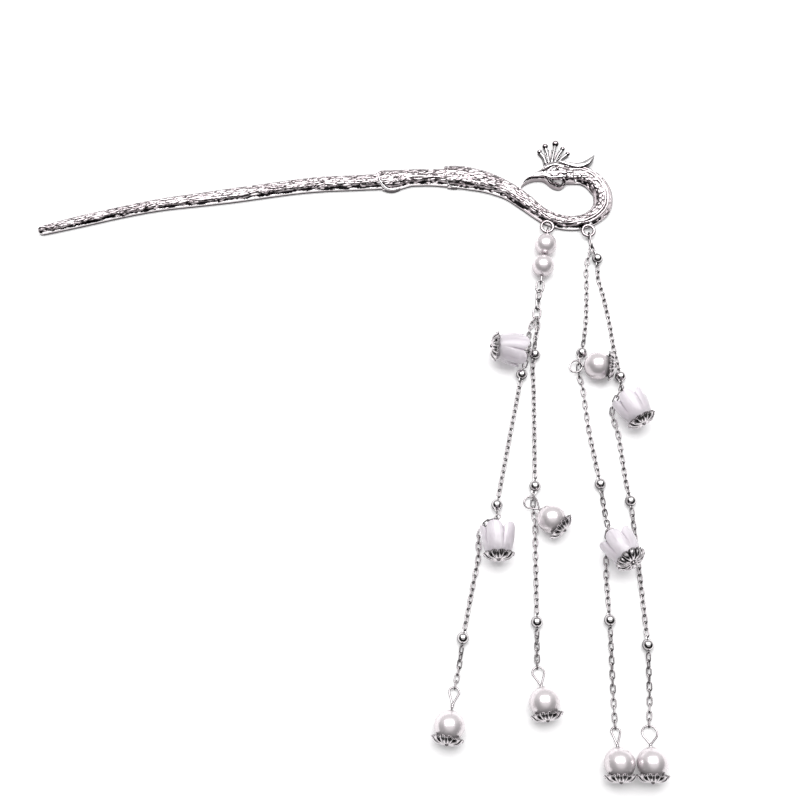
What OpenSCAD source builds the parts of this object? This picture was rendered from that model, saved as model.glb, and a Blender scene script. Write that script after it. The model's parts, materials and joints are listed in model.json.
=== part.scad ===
// Buyao hairpin laid flat: a cast stick that curls into a phoenix head,
// with two pairs of chain strands that carry metal balls, pearls and glass bellflowers.
// +X is right, +Y is up the stick's side, +Z is up from the surface it lies on. Millimetres.

/* [Casting] */
// Length of the plain stick from its tip to the first collar, along X
stick_len = 102; // [80:1:130]
// How far the stick climbs from its tip to the first collar, along Y
stick_rise = 16.8; // [10:0.2:24]
// Width of the stick at the first collar
stick_w = 4.4; // [3.4:0.1:5.4]
// Length of the grip between the two collars
grip_len = 21.5; // [18:0.5:26]
// Width of the hook just past the second collar
hook_w = 7; // [6:0.1:8]
// Span of the hook from the second collar to its outermost bend, along X
hook_span = 46.4; // [44:0.2:49]
// Height of the hook from its lowest to its highest centre line, along Y
hook_h = 16.8; // [16:0.2:18]
// Thickness of the casting at its crown
cast_t = 3.2; // [2.8:0.1:3.8]
// Height of the plain side wall under the bark
wall_t = 1.5; // [1.2:0.1:1.8]
// Height of the bark ridges on the crown
bark_h = 0.28; // [0.1:0.02:0.4]
// Length of the phoenix head from the eye to the beak's tip
head_len = 12.3; // [11.4:0.1:13]
// Radius of the bore in each cast eyelet
eyelet_bore_r = 1.25; // [1.15:0.05:1.4]
// Thickness of each cast eyelet's round rim
eyelet_t = 1; // [0.9:0.05:1.1]

/* [Chains] */
// Outside length of one fine link
link_len = 2.72; // [2.6:0.02:2.9]
// Outside width of one fine link
link_w = 1.5; // [1.4:0.05:1.6]
// Wire of the fine links
link_wire = 0.36; // [0.32:0.02:0.38]
// Outside length of one large link
large_len = 3.9; // [3.7:0.05:4.1]
// Outside width of one large link
large_w = 2.6; // [2.4:0.05:2.8]
// Wire of the large links
large_wire = 0.5; // [0.44:0.02:0.54]
// Diameter of the metal balls
ball_d = 3.2; // [3:0.05:3.4]

/* [Beads] */
// Diameter of the large pearls
pearl_d = 8; // [7.6:0.1:8.2]
// Diameter of the two small pearls
small_pearl_d = 6.6; // [6:0.1:6.7]
// Bore through every bead
bead_bore = 0.9; // [0.7:0.05:1.2]
// Length of a glass bellflower from its base to its petal tips
bell_len = 9.2; // [8.6:0.1:9.6]
// Width of a glass bellflower over its petals
bell_w = 10.2; // [9.6:0.1:10.6]
// Wire of the head pins and the eye pin
pin_wire = 0.5; // [0.4:0.02:0.54]
// Sheet thickness of the flower caps
cap_t = 0.35; // [0.3:0.02:0.45]
// Number of petals on a flower cap
cap_petals = 10; // [8:1:11]

/* [Hidden] */

// Running gap between pieces that hold each other
gap = 0.1;
silver = "silver";

// Casting: the hook stays in place with what hangs from it, and the grip and the stick reach out from it
hook_origin = [33, 65.2];
grip_overlap = 0.5;
collar_1 = [hook_origin.x + grip_overlap - grip_len, hook_origin.y + 14];
tip = [collar_1.x - stick_len, collar_1.y - stick_rise];

// Stick rows: share of stick_len, share of stick_rise, share of stick_w
STICK = [
    [0.000, 0.000, 0.40], [0.040, 0.070, 0.56], [0.120, 0.200, 0.65], [0.240, 0.385, 0.66],
    [0.350, 0.530, 0.72], [0.470, 0.635, 0.82], [0.560, 0.715, 0.90], [0.650, 0.800, 0.90],
    [0.740, 0.885, 0.91], [0.830, 0.945, 0.96], [0.920, 0.970, 0.97], [1.000, 1.000, 1.00]];
// Grip rows: share of grip_len, offset as a share of stick_w, share of stick_w
GRIP = [
    [0.00, 0.02, 1.02], [0.06, 0.07, 1.36], [0.20, 0.10, 1.40], [0.30, 0.17, 1.28],
    [0.42, 0.27, 1.12], [0.58, 0.30, 1.09], [0.75, 0.30, 1.09], [0.90, 0.28, 1.18],
    [1.00, 0.30, 1.25]];
// Hook rows: share of hook_span, share of hook_h, share of hook_w
HOOK_ROWS = [
    [-0.010, 0.917, 0.80], [0.009, 0.920, 0.98], [0.075, 0.917, 0.98], [0.150, 0.878, 0.95],
    [0.226, 0.830, 0.89], [0.312, 0.738, 0.79], [0.399, 0.613, 0.70], [0.496, 0.405, 0.66],
    [0.565, 0.232, 0.58], [0.634, 0.101, 0.58], [0.720, 0.015, 0.56], [0.810, 0.000, 0.57],
    [0.881, 0.045, 0.57], [0.944, 0.155, 0.63], [0.985, 0.286, 0.73], [0.998, 0.440, 0.78],
    [0.998, 0.595, 0.72], [0.978, 0.738, 0.67], [0.937, 0.887, 0.64], [0.877, 0.985, 0.64],
    [0.800, 1.000, 0.60], [0.722, 1.020, 0.56]];

// Phoenix head, from the eye's centre: shares of head_len for x, y and radius, share of cast_t for the top
eye_at = [hook_origin.x + 0.705 * hook_span, hook_origin.y + 1.036 * hook_h];
SKULL = [[-0.22, 0.03, 0.18, 0.95], [-0.04, 0.06, 0.23, 1.04], [0.22, 0.00, 0.18, 0.98]];
BEAK = [
    [-0.30, -0.03, 0.140, 0.95], [-0.45, -0.06, 0.105, 0.86], [-0.60, -0.11, 0.080, 0.74],
    [-0.72, -0.17, 0.062, 0.66], [-0.84, -0.29, 0.040, 0.60], [-0.91, -0.40, 0.025, 0.55]];
BROW = [[-0.33, -0.03, 0.03, 1.00], [-0.18, 0.08, 0.035, 1.12], [0.00, 0.14, 0.035, 1.20], [0.20, 0.06, 0.03, 1.08]];
EYE = [[0.00, 0.00, 0.06, 1.16], [0.01, 0.00, 0.06, 1.16]];
WATTLE = [[-0.20, -0.18, 0.07, 0.80], [-0.13, -0.28, 0.09, 0.78], [0.02, -0.35, 0.10, 0.76], [0.16, -0.33, 0.09, 0.73]];
CHEEK = [[-0.16, -0.14, 0.06, 1.00], [0.02, -0.14, 0.055, 1.06], [0.15, -0.20, 0.06, 1.00], [0.14, -0.30, 0.05, 0.94]];
LAPPET = [[-0.10, -0.20, 0.035, 0.98], [0.04, -0.24, 0.035, 0.98]];
HORN = [
    [0.09, 0.27, 0.035, 0.80], [0.30, 0.15, 0.060, 0.95], [0.52, 0.12, 0.062, 0.98],
    [0.74, 0.17, 0.055, 0.92], [0.87, 0.28, 0.040, 0.80], [0.935, 0.39, 0.018, 0.66]];
// Crest: stalk base x and y, ball x and y, all as shares of head_len from the eye
CREST = [
    [-0.25, 0.26, -0.40, 0.56], [-0.18, 0.28, -0.24, 0.72], [-0.08, 0.29, 0.02, 0.80],
    [0.00, 0.28, 0.18, 0.63], [0.07, 0.25, 0.31, 0.49]];
crest_ball = 0.062;
crest_stalk = 0.026;
crest_top = 0.62;

// Cast eyelets on the hook's lower edge
eyelet_z = 1.75;
eyelet_r = eyelet_bore_r + eyelet_t / 2;
eyelet_1 = [62, 63.4];
eyelet_2 = [74.2, 62.1];

// Eye pin that carries the two small pearls: its top loop's centre and the way it runs in plan
pin_top = [61.85, eyelet_1.y - eyelet_r - 0.15];
pin_way = [-0.156, -0.988];
top_loop_r = 1.2;
low_loop_r = 0.95;
pearl_1_at = top_loop_r + pin_wire / 2 + gap + small_pearl_d / 2;
pearl_2_at = pearl_1_at + small_pearl_d + 3 * gap;
low_loop_at = pearl_2_at + small_pearl_d / 2 + 3 * gap + pin_wire / 2 + low_loop_r * 0.7;
pin_z = small_pearl_d / 2;

// Ring that hangs from the second eyelet and carries strands C and D
ring_w = 2 * eyelet_t + 0.8;
ring_top = eyelet_2.y - eyelet_r + (eyelet_t + large_wire) / 2 + gap;
ring_low = [74.95, 56.4];

// Kinds of route rows: a point to pass, a soldered ball, a link that a drop's wire goes through,
// and a wire that the strand ends on
VIA = 0;
BALL = 1;
HOOK = 2;
EYE_END = 3;
chain_z = 0.62;
ball_z = ball_d / 2;

// Chain routes, laid on the surface: x, y, z, kind, roll of the link there (0 lies flat, 90 stands on edge)
ROUTE_LARGE = [
    [59.2, 44.85, 2.35, EYE_END, 0], [58.5, 40.5, 1.5, VIA], [57.9, 35.7, 1.3, HOOK, 0]];
ROUTE_A = [
    [57.31, 34.14, 1.3, EYE_END, 90], [55.9, 32, 0.8, VIA], [55.3, 28.4, chain_z, VIA],
    [54.9, 22.75, 3.8, HOOK, 0], [52.8, 16.7, ball_z, BALL], [44.7, -21.3, ball_z, BALL],
    [44.35, -25.55, 4.1, HOOK, 0], [41.6, -26.2, 1.8, VIA], [40.2, -27.8, 0.75, VIA],
    [39.4, -30.5, chain_z, VIA], [39.4, -35.5, chain_z, VIA], [34.7, -57.4, ball_z, BALL],
    [33.7, -64.6, chain_z, VIA], [32.4, -70.1, 0.85, EYE_END, 90]];
ROUTE_B = [
    [58.09, 34.05, 1.3, EYE_END, 90], [58.2, 32, 0.8, VIA], [57.6, 29.6, chain_z, VIA],
    [57, 26.6, chain_z, VIA], [56.8, 22.8, ball_z, BALL], [56.1, 20, 0.8, VIA],
    [56.2, 12.6, chain_z, VIA], [55.4, -16, ball_z, BALL], [54.8, -19, 1.3, HOOK, 90],
    [54.7, -22, chain_z, VIA], [55.1, -25.5, chain_z, VIA], [54.5, -53.2, ball_z, BALL],
    [54.2, -64.9, 0.85, EYE_END, 90]];
ROUTE_C = [
    [ring_low.x, ring_low.y, 1.4, EYE_END, 0], [73.75, 53.5, 0.9, VIA], [73.1, 50, chain_z, VIA],
    [73.0, 44.9, chain_z, VIA], [72.3, 34, chain_z, VIA], [71.4, 28.3, chain_z, VIA],
    [70.35, 23.35, ball_z, BALL], [69.3, 20.5, 2.13, HOOK, 90], [69.2, 16.7, chain_z, VIA],
    [70.2, 13.5, chain_z, VIA], [71.2, 1, chain_z, VIA], [73.5, -15.4, ball_z, BALL],
    [74.3, -21.9, chain_z, VIA], [74.6, -28.5, 3.5, HOOK, 90], [74.2, -32.6, chain_z, VIA],
    [73.8, -41.5, chain_z, VIA], [74.0, -52.7, ball_z, BALL], [73.9, -72, chain_z, VIA],
    [73.9, -80.1, 0.85, EYE_END, 90]];
ROUTE_D = [
    [ring_low.x, ring_low.y, 2, EYE_END, 0], [76.45, 53.05, ball_z, BALL], [76.4, 47, chain_z, VIA],
    [77.6, 42, chain_z, VIA], [79.1, 32.2, chain_z, VIA], [79.7, 25.4, chain_z, VIA],
    [81.0, 16.1, ball_z, BALL], [80.54, 11.65, 3.9, HOOK, 0], [79.7, 10.2, 3.8, VIA],
    [78.8, 8.6, 2.6, VIA], [78.2, 6.9, 1.2, VIA], [78.0, 5, chain_z, VIA], [79.6, -1, chain_z, VIA],
    [80.9, -15.5, chain_z, VIA], [81.6, -20.2, ball_z, BALL], [82.4, -30, chain_z, VIA],
    [83.1, -43.3, chain_z, VIA], [83.7, -59.2, ball_z, BALL], [83.4, -73.3, chain_z, VIA],
    [82.7, -79.7, 0.85, EYE_END, 90]];

// How links hold each other: half the length between a link's end wires, and the least overlap
half_link = (link_len - link_wire) / 2;
link_hold = link_wire + gap;
half_large = (large_len - large_wire) / 2;
large_hold = large_wire + gap;
eye_reach = ball_d / 2 + 2 * link_wire + gap + 0.03;
eye_extra = (pin_wire - link_wire) / 2 + 0.02;

// Drops, one row each: place of the bead's centre, azimuth towards the loop, tilt down towards the loop,
// loop centre and neck as distances from the bead's centre, loop radius, turn of the loop about the pin
D_X = 0;
D_AZ = 3;
D_TILT = 4;
D_LOOP = 5;
D_NECK = 6;
D_R = 7;
D_TURN = 8;
pearl_z = pearl_d / 2;
DROP_A = [30.7, -79.9, pearl_z, 80.2, 17.5, 9.15, 5.6, 1.3, 0];
DROP_B = [55.4, -74.0, pearl_z, 97.5, 18.8, 8.15, 4.4, 1.55, 0];
DROP_C = [73.9, -89.0, pearl_z, 90.0, 19.4, 8.28, 4.45, 1.15, 0];
DROP_D = [82.2, -89.0, pearl_z, 87.0, 18.7, 7.85, 4.8, 1.95, 0];
DROP_SIDE_B = [59.3, -25.8, pearl_z, 135.5, 19, 7.85, 4.5, 1.8, 0];
DROP_SIDE_C = [74.3, 18.5, pearl_z, 175.2, 20, 6.33, 4.4, 1.8, 0];
DROP_BELL_1 = [48.5, 23.15, 6.12, -4, 20, 5.7, 2.5, 1.1, 90];
DROP_BELL_2 = [44.4, -32.64, 5.6, 90, 12, 6.1, 2.9, 1.1, 90];
DROP_BELL_3 = [83.78, 4.77, 5.82, 115, 15, 6.9, 2.6, 0.9, 90];
DROP_BELL_4 = [77.74, -35.15, 7.75, 115, 30, 7.2, 4.3, 1.3, 0];

// Flower cap: how far it wraps the bead from the pin's line, and where its pierced holes sit
cap_wrap = 62;
cap_hole_at = 43;
cap_hole_r = 0.48;
cap_notch_r = 0.42;
// Ball end on each head pin, and the width of the wrapped neck under its loop as a share of the wire
pin_head_r = 0.6;
neck_wrap = 1.4;
// Where two wires are soldered, the thinner one's share of the width and how far it runs into the other
soldered = 0.98;
run_in = 0.05;

// Bellflower rows: radius as a share of bell_w / 2, height as a share of bell_len, petal depth
BELL = [
    [0.09, 0.00, 0.00], [0.34, 0.05, 0.00], [0.57, 0.14, 0.02], [0.73, 0.26, 0.05],
    [0.90, 0.42, 0.08], [1.00, 0.58, 0.11], [0.97, 0.76, 0.13], [0.89, 0.92, 0.14],
    [0.78, 0.92, 0.14], [0.82, 0.74, 0.12], [0.80, 0.56, 0.10], [0.62, 0.38, 0.06],
    [0.34, 0.26, 0.02], [0.09, 0.22, 0.00]];
bell_petals = 5;
bell_steps = 30;
bell_base = 4;

function xyz(p) = [p[0], p[1], p[2]];
function mix(a, b, t) = a + (b - a) * t;
function wrap_half_turn(a) = a - 180 * floor((a + 90) / 180);

// Smooth curve through rows of any width, a cubic between each pair
function cubic(a, b, c, d, t) =
    0.5 * (2 * b + (c - a) * t + (2 * a - 5 * b + 4 * c - d) * t * t + (3 * b - a - 3 * c + d) * t * t * t);
function smooth(rows, steps) = [
    for (i = [0 : len(rows) - 2], k = [0 : steps - 1])
        cubic(rows[max(i - 1, 0)], rows[i], rows[i + 1], rows[min(i + 2, len(rows) - 1)], k / steps),
    rows[len(rows) - 1]];

// Way along the centre line at row i, as an angle in plan
function heading(rows, i) =
    let (a = rows[max(i - 1, 0)], b = rows[min(i + 1, len(rows) - 1)])
    atan2(b[1] - a[1], b[0] - a[0]);
// Bark on crown point j at row i: two crossed waves, so that ridges start and stop
function bark(i, j) = bark_h * (sin(i * 61 + j * 133) * cos(i * 23 - j * 97) + 0.6 * sin(j * 151 + i * 17));
// Half section from edge to edge over the crown: a plain wall, a small ledge and a barked dome
crown_points = 9;
ledge = 0.18;
function section(half, top, i) = [
    [-half, 0], [half, 0], [half, wall_t],
    for (j = [0 : crown_points - 1])
        let (a = 180 * (j + 0.5) / crown_points)
        [(half - ledge) * cos(a), wall_t + 0.12 + (top - wall_t - 0.12) * pow(sin(a), 0.7) + bark(i, j)],
    [-half, wall_t]];

// A barked bar: sections set square to a centre line of rows [x, y, half width, top]
module bar(rows) {
    m = crown_points + 4;
    n = len(rows);
    points = [
        for (i = [0 : n - 1])
            let (a = heading(rows, i), s = section(rows[i][2], rows[i][3], i))
            for (p = s) [rows[i][0] - p[0] * sin(a), rows[i][1] + p[0] * cos(a), p[1]]];
    sides = [
        for (i = [0 : n - 2], j = [0 : m - 1])
            let (k = (j + 1) % m)
            each [[i * m + j, (i + 1) * m + j, i * m + k], [i * m + k, (i + 1) * m + j, (i + 1) * m + k]]];
    ends = [[for (j = [0 : m - 1]) j], [for (j = [m - 1 : -1 : 0]) (n - 1) * m + j]];
    polyhedron(points = points, faces = concat(sides, ends), convexity = 10);
}

// A low rounded lump with the same plain side wall as the bars
module lump(x, y, r, top) {
    low = max(min(wall_t, top * 0.7), top / 2);
    translate([x, y, 0]) {
        cylinder(r = r, h = low, $fn = 12);
        translate([0, 0, low])
            scale([1, 1, (top - low) / r])
                sphere(r = r, $fn = 12);
    }
}

// Lumps joined in a row, from a table of head shares
module ridge(rows) {
    for (i = [0 : len(rows) - 2])
        hull()
            for (r = [rows[i], rows[i + 1]])
                lump(eye_at.x + r[0] * head_len, eye_at.y + r[1] * head_len, r[2] * head_len, r[3] * cast_t);
}

module crest() {
    for (c = CREST)
        hull() {
            lump(eye_at.x + c[0] * head_len, eye_at.y + c[1] * head_len, crest_stalk * head_len, crest_top * cast_t);
            lump(eye_at.x + c[2] * head_len, eye_at.y + c[3] * head_len, crest_stalk * head_len, crest_top * cast_t);
        }
    for (c = CREST)
        translate([eye_at.x + c[2] * head_len, eye_at.y + c[3] * head_len, crest_ball * head_len])
            sphere(r = crest_ball * head_len, $fn = 14);
    // Thin web that ties the stalks near the skull
    linear_extrude(wall_t * 0.6)
        polygon([
            for (c = CREST) eye_at + head_len * mix([c[0], c[1]], [c[2], c[3]], 0.6),
            eye_at + head_len * [0.12, 0.18],
            eye_at + head_len * [-0.27, 0.16]]);
}

// Centre line of the hook's lower side, as y for an x
function hook_y(x) = lookup(x, [for (i = [0 : 13])
    [hook_origin.x + HOOK_ROWS[i][0] * hook_span, hook_origin.y + HOOK_ROWS[i][1] * hook_h]]);

// A cast ring with a foot that reaches up into the hook
module cast_eyelet(at, foot) {
    low = at.y + eyelet_r + 0.6;
    high = max(low, hook_y(at.x) - hook_w / 4);
    translate([at.x, at.y, eyelet_z])
        rotate_extrude($fn = 28)
            translate([eyelet_r, 0])
                circle(d = eyelet_t, $fn = 12);
    hull()
        for (y = [low, high])
            for (side = [-1, 1])
                lump(at.x + side * foot, y, 0.6, eyelet_z + 0.4);
}

module hairpin() {
    stick = [for (r = STICK) [tip.x + r[0] * stick_len, tip.y + r[1] * stick_rise, r[2] * stick_w / 2,
        cast_t * (0.72 + 0.22 * r[0])]];
    grip = [for (r = GRIP) [collar_1.x + r[0] * grip_len, collar_1.y + r[1] * stick_w, r[2] * stick_w / 2,
        cast_t * (0.98 + 0.08 * r[2] - 0.08)]];
    hook = [for (r = HOOK_ROWS) [hook_origin.x + r[0] * hook_span, hook_origin.y + r[1] * hook_h,
        r[2] * hook_w / 2, cast_t * (0.92 + 0.14 * r[2])]];
    color(silver)
        union() {
            bar(smooth(stick, 6));
            bar(smooth(grip, 2));
            bar(smooth(hook, 3));
            // Collar ridge, cast at a slant across the stick
            hull() {
                lump(collar_1.x - 0.5, collar_1.y + 0.78 * stick_w, 0.55, cast_t * 0.95);
                lump(collar_1.x + 1.9, collar_1.y - 0.62 * stick_w, 0.6, cast_t * 0.95);
            }
            ridge(SKULL);
            ridge(BEAK);
            ridge(BROW);
            ridge(EYE);
            ridge(WATTLE);
            ridge(CHEEK);
            ridge(LAPPET);
            ridge(HORN);
            crest();
            cast_eyelet(eyelet_1, 0.6);
            cast_eyelet(eyelet_2, 0.9);
        }
}

// One link: two half rings joined by straight wires, long side along X
module stadium(length, width, wire) {
    r = (width - wire) / 2;
    run = length - width;
    for (s = [-1, 1]) {
        translate([s * run / 2, 0, 0])
            rotate([0, 0, -90 * s])
                rotate_extrude(angle = 180, $fn = 24)
                    translate([r, 0])
                        circle(d = wire, $fn = 16);
        translate([0, s * r, 0])
            rotate([0, 90, 0])
                cylinder(h = run, d = wire, center = true, $fn = 16);
    }
}

// Sets children's X axis along way w at point p, turned about it by roll
module along(p, w, roll) {
    translate(p)
        rotate([0, -atan2(w[2], norm([w[0], w[1]])), atan2(w[1], w[0])])
            rotate([roll, 0, 0])
                children();
}

// Length along a route up to each of its rows
function lengths(route) = [
    for (i = 0, s = 0; i < len(route); i = i + 1, s = i < len(route) ? s + norm(xyz(route[i]) - xyz(route[i - 1])) : s)
        s];
function leg(sums, s, i = 1) = i >= len(sums) - 1 || s < sums[i] ? i : leg(sums, s, i + 1);
// Point at length s along a route, carried straight on past its ends
function spot(route, sums, s) =
    let (i = leg(sums, s))
    mix(xyz(route[i - 1]), xyz(route[i]), (s - sums[i - 1]) / (sums[i] - sums[i - 1]));

// Rolls of k + 1 links between two ends whose rolls may be free, each link crossed with the next
function rolls(k, r0, r1) =
    is_undef(r0) && is_undef(r1) ? [for (i = [0 : k]) 45 + 90 * i]
    : is_undef(r0) ? [for (i = [0 : k]) r1 - 90 * (k - i) + (k < 3 ? 0 : 45 * (k - i) / k)]
    : is_undef(r1) ? [for (i = [0 : k]) r0 + 90 * i + (k < 3 ? 0 : 45 * i / k)]
    : [for (i = [0 : k]) r0 + 90 * i + (k == 0 ? 0 : wrap_half_turn(r1 - r0 - 90 * k) * i / k)];

// Links between stations i and j of a route, as [centre, way, roll], from the link's own sizes
function run_links(route, sums, i, j, half, hold, extra, width, wire) =
    let (
        free_0 = route[i][3] != HOOK,
        free_1 = route[j][3] != HOOK,
        s0 = sums[i] + (route[i][3] == BALL ? eye_reach : route[i][3] == EYE_END ? -extra : 0),
        s1 = sums[j] - (route[j][3] == BALL ? eye_reach : route[j][3] == EYE_END ? -extra : 0),
        ends = (free_0 ? 1 : 0) + (free_1 ? 1 : 0),
        span = s1 - s0,
        k = max(0, ceil((span - ends * (half - hold)) / (2 * half - hold) - 0.001)),
        slack = (half - hold) * ends + (2 * half - hold) * k - span,
        over_end = hold + (k == 0 ? slack / ends : 0),
        over = hold + (k == 0 ? 0 : slack / k),
        turn = rolls(k, route[i][4], route[j][4]))
    [for (n = [free_0 ? 0 : 1 : k])
        let (
            s = s0 + (free_0 ? half - over_end : 0) + n * (2 * half - over),
            a = spot(route, sums, s - half),
            b = spot(route, sums, s + half),
            held = !free_0 && n == 0 || !free_1 && n == k)
        [raised(held ? spot(route, sums, s) : (a + b) / 2, lift(turn[n], width, wire)), b - a, turn[n]]];
// Height of a link's centre when it rests on the surface, from its roll
function lift(roll, width, wire) = (width - wire) / 2 * abs(sin(roll)) + wire / 2;
function raised(p, z) = [p[0], p[1], max(p[2], z)];
function stations(route) = [for (i = [0 : len(route) - 1]) if (route[i][3] != VIA) i];
function all_links(route, half, hold, extra, width, wire) =
    let (sums = lengths(route), st = stations(route))
    [for (n = [0 : len(st) - 2]) each run_links(route, sums, st[n], st[n + 1], half, hold, extra, width, wire)];

module chain(route) {
    color(silver)
        for (f = all_links(route, half_link, link_hold, eye_extra, link_w, link_wire))
            along(f[0], f[1], f[2])
                stadium(link_len, link_w, link_wire);
}

module large_links() {
    color(silver)
        for (f = all_links(ROUTE_LARGE, half_large, large_hold, 0, large_w, large_wire))
            along(f[0], f[1], f[2])
                stadium(large_len, large_w, large_wire);
}

// Half a link soldered to a ball: its end wire is centred eye_reach from the ball's centre
module ball_eye(p, way, roll) {
    r = (link_w - link_wire) / 2;
    along(p, way, roll) {
        translate([eye_reach - r, 0, 0])
            rotate([0, 0, -90])
                rotate_extrude(angle = 180, $fn = 24)
                    translate([r, 0])
                        circle(d = link_wire, $fn = 16);
        for (s = [-1, 1])
            translate([0.6 * ball_d / 2, s * r, 0])
                rotate([0, 90, 0])
                    cylinder(h = eye_reach - r - 0.6 * ball_d / 2, d = link_wire, $fn = 16);
    }
}

function fine_run(route, sums, i, j) =
    run_links(route, sums, i, j, half_link, link_hold, eye_extra, link_w, link_wire);
// The link that station number n of a route holds: the last one of the run that ends there
function fine_held(route, sums, st, n) =
    let (run = fine_run(route, sums, st[n - 1], st[n]))
    run[len(run) - 1];
// From a link's centre to the place on its axis where a neighbour's wire crosses it
function grip(link) = link[1] / norm(link[1]) * (half_link - link_hold);

// Ball number n of a route, with an eye for the link on each side
module ball(route, n) {
    sums = lengths(route);
    st = stations(route);
    at = [for (k = [0 : len(st) - 1]) if (route[st[k]][3] == BALL) k][n];
    i = st[at];
    p = xyz(route[i]);
    before = fine_run(route, sums, st[at - 1], i);
    after = fine_run(route, sums, i, st[at + 1]);
    last = len(before) > 0 ? before[len(before) - 1] : fine_held(route, sums, st, at - 1);
    first = after[0];
    color("lightgray") {
        translate(p)
            sphere(d = ball_d, $fn = 32);
        ball_eye(p, last[0] + grip(last) - p, -last[2] - 90);
        ball_eye(p, first[0] - grip(first) - p, first[2] + 90);
    }
}

// Ring on the second eyelet, standing on edge
module eyelet_ring() {
    top = [eyelet_2.x, ring_top];
    way = ring_low - top;
    color(silver)
        along([(top.x + ring_low.x) / 2, (top.y + ring_low.y) / 2, eyelet_z], [way.x, way.y, 0], 90)
            stadium(norm(way) + large_wire, ring_w, large_wire);
}

function on_pin(s) = [pin_top.x + s * pin_way.x, pin_top.y + s * pin_way.y, pin_z];

module eye_pin() {
    color(silver)
        along(on_pin(0), [pin_way.x, pin_way.y, 0], 0) {
            rotate([0, 90, 0])
                cylinder(h = low_loop_at, d = pin_wire, $fn = 20);
            translate([0, 0, -top_loop_r])
                rotate([90, 0, 0])
                    rotate_extrude($fn = 40)
                        translate([top_loop_r, 0])
                            circle(d = pin_wire * soldered, $fn = 20);
            translate([low_loop_at, 0, -low_loop_r])
                rotate([90, 0, 0])
                    rotate_extrude($fn = 40)
                        translate([low_loop_r, 0])
                            circle(d = pin_wire * soldered, $fn = 20);
        }
}

// A ball turned about X with a bore along X
module drilled(d) {
    rotate([0, 90, 0])
        rotate_extrude($fn = 48)
            intersection() {
                circle(d = d, $fn = 48);
                translate([bead_bore / 2, -d])
                    square([d, 2 * d]);
            }
}

module small_pearl(s) {
    color("seashell")
        along(on_pin(s), [pin_way.x, pin_way.y, 0], 0)
            drilled(small_pearl_d);
}

// A drop's own frame: the bead's centre, with X towards the loop
module drop_frame(d) {
    translate([d[D_X], d[D_X + 1], d[D_X + 2]])
        rotate([0, d[D_TILT], d[D_AZ]])
            children();
}

module pearl(d) {
    color("seashell")
        drop_frame(d)
            drilled(pearl_d);
}

// Pierced flower cap on the side away from the loop: a shell cut into petals, with a hole in each
module flower_cap(d, bead_r) {
    inner = bead_r + gap;
    color("gainsboro")
        drop_frame(d)
            difference() {
                rotate([0, -90, 0])
                    rotate_extrude($fn = 64)
                        intersection() {
                            difference() {
                                circle(r = inner + cap_t, $fn = 96);
                                circle(r = inner, $fn = 96);
                            }
                            translate([bead_bore / 2, inner * cos(cap_wrap)])
                                square(inner + cap_t);
                        }
                for (i = [0 : cap_petals - 1])
                    rotate([360 * i / cap_petals, 0, 0]) {
                        rotate([0, -90 + cap_hole_at, 0])
                            cylinder(h = inner + 2, r = cap_hole_r, $fn = 24);
                        rotate([180 / cap_petals, 0, 0])
                            rotate([0, -90 + cap_wrap, 0])
                                cylinder(h = inner + 2, r = cap_notch_r, $fn = 24);
                    }
            }
}

// Head pin: a ball end under the cap, a straight wire through the bead and a teardrop loop
module head_pin(d, bead_r) {
    start = -(bead_r + gap + cap_t + gap + pin_head_r * 0.8);
    tail = d[D_LOOP] - d[D_NECK];
    spread = asin(d[D_R] / tail);
    color(silver)
        drop_frame(d)
            rotate([d[D_TURN], 0, 0]) {
                translate([start, 0, 0])
                    rotate([0, 90, 0])
                        cylinder(h = d[D_NECK] - start, d = pin_wire, $fn = 20);
                translate([start, 0, 0])
                    rotate([0, 0, 180])
                        sphere(r = pin_head_r, $fn = 24);
                translate([d[D_NECK] - pin_wire / 2, 0, 0])
                    rotate([0, 90, 0])
                        cylinder(h = pin_wire, d = pin_wire * neck_wrap, $fn = 24);
                translate([d[D_LOOP], 0, 0])
                    rotate([0, 0, -90 - spread])
                        rotate_extrude(angle = 180 + 2 * spread, $fn = 40)
                            translate([d[D_R], 0])
                                circle(d = pin_wire, $fn = 20);
                for (s = [-1, 1])
                    translate([d[D_NECK], 0, 0])
                        rotate([0, 0, s * spread])
                            rotate([0, 90, 0])
                                cylinder(h = tail * cos(spread) + run_in, d = pin_wire * soldered, $fn = 20);
            }
}

// Glass bellflower: a ring of profile rows, turned in petals, hollow from its mouth to its base
module bellflower(d) {
    m = len(BELL);
    points = [
        for (a = [0 : bell_steps - 1], r = BELL)
            let (
                w = 360 * a / bell_steps,
                petal = cos(bell_petals * w),
                rad = r[0] * bell_w / 2 * (1 + r[2] * (petal - 1) * 0.5),
                u = r[1] * bell_len + (r[1] > 0.7 ? 0.08 * bell_len * petal : 0))
            [u - bell_base, rad * cos(w), rad * sin(w)]];
    faces = [
        for (a = [0 : bell_steps - 1], r = [0 : m - 1])
            let (b = (a + 1) % bell_steps, q = (r + 1) % m)
            each [[a * m + r, a * m + q, b * m + q], [a * m + r, b * m + q, b * m + r]]];
    color("lavenderblush")
        drop_frame(d)
            polyhedron(points = points, faces = faces, convexity = 6);
}

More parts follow.
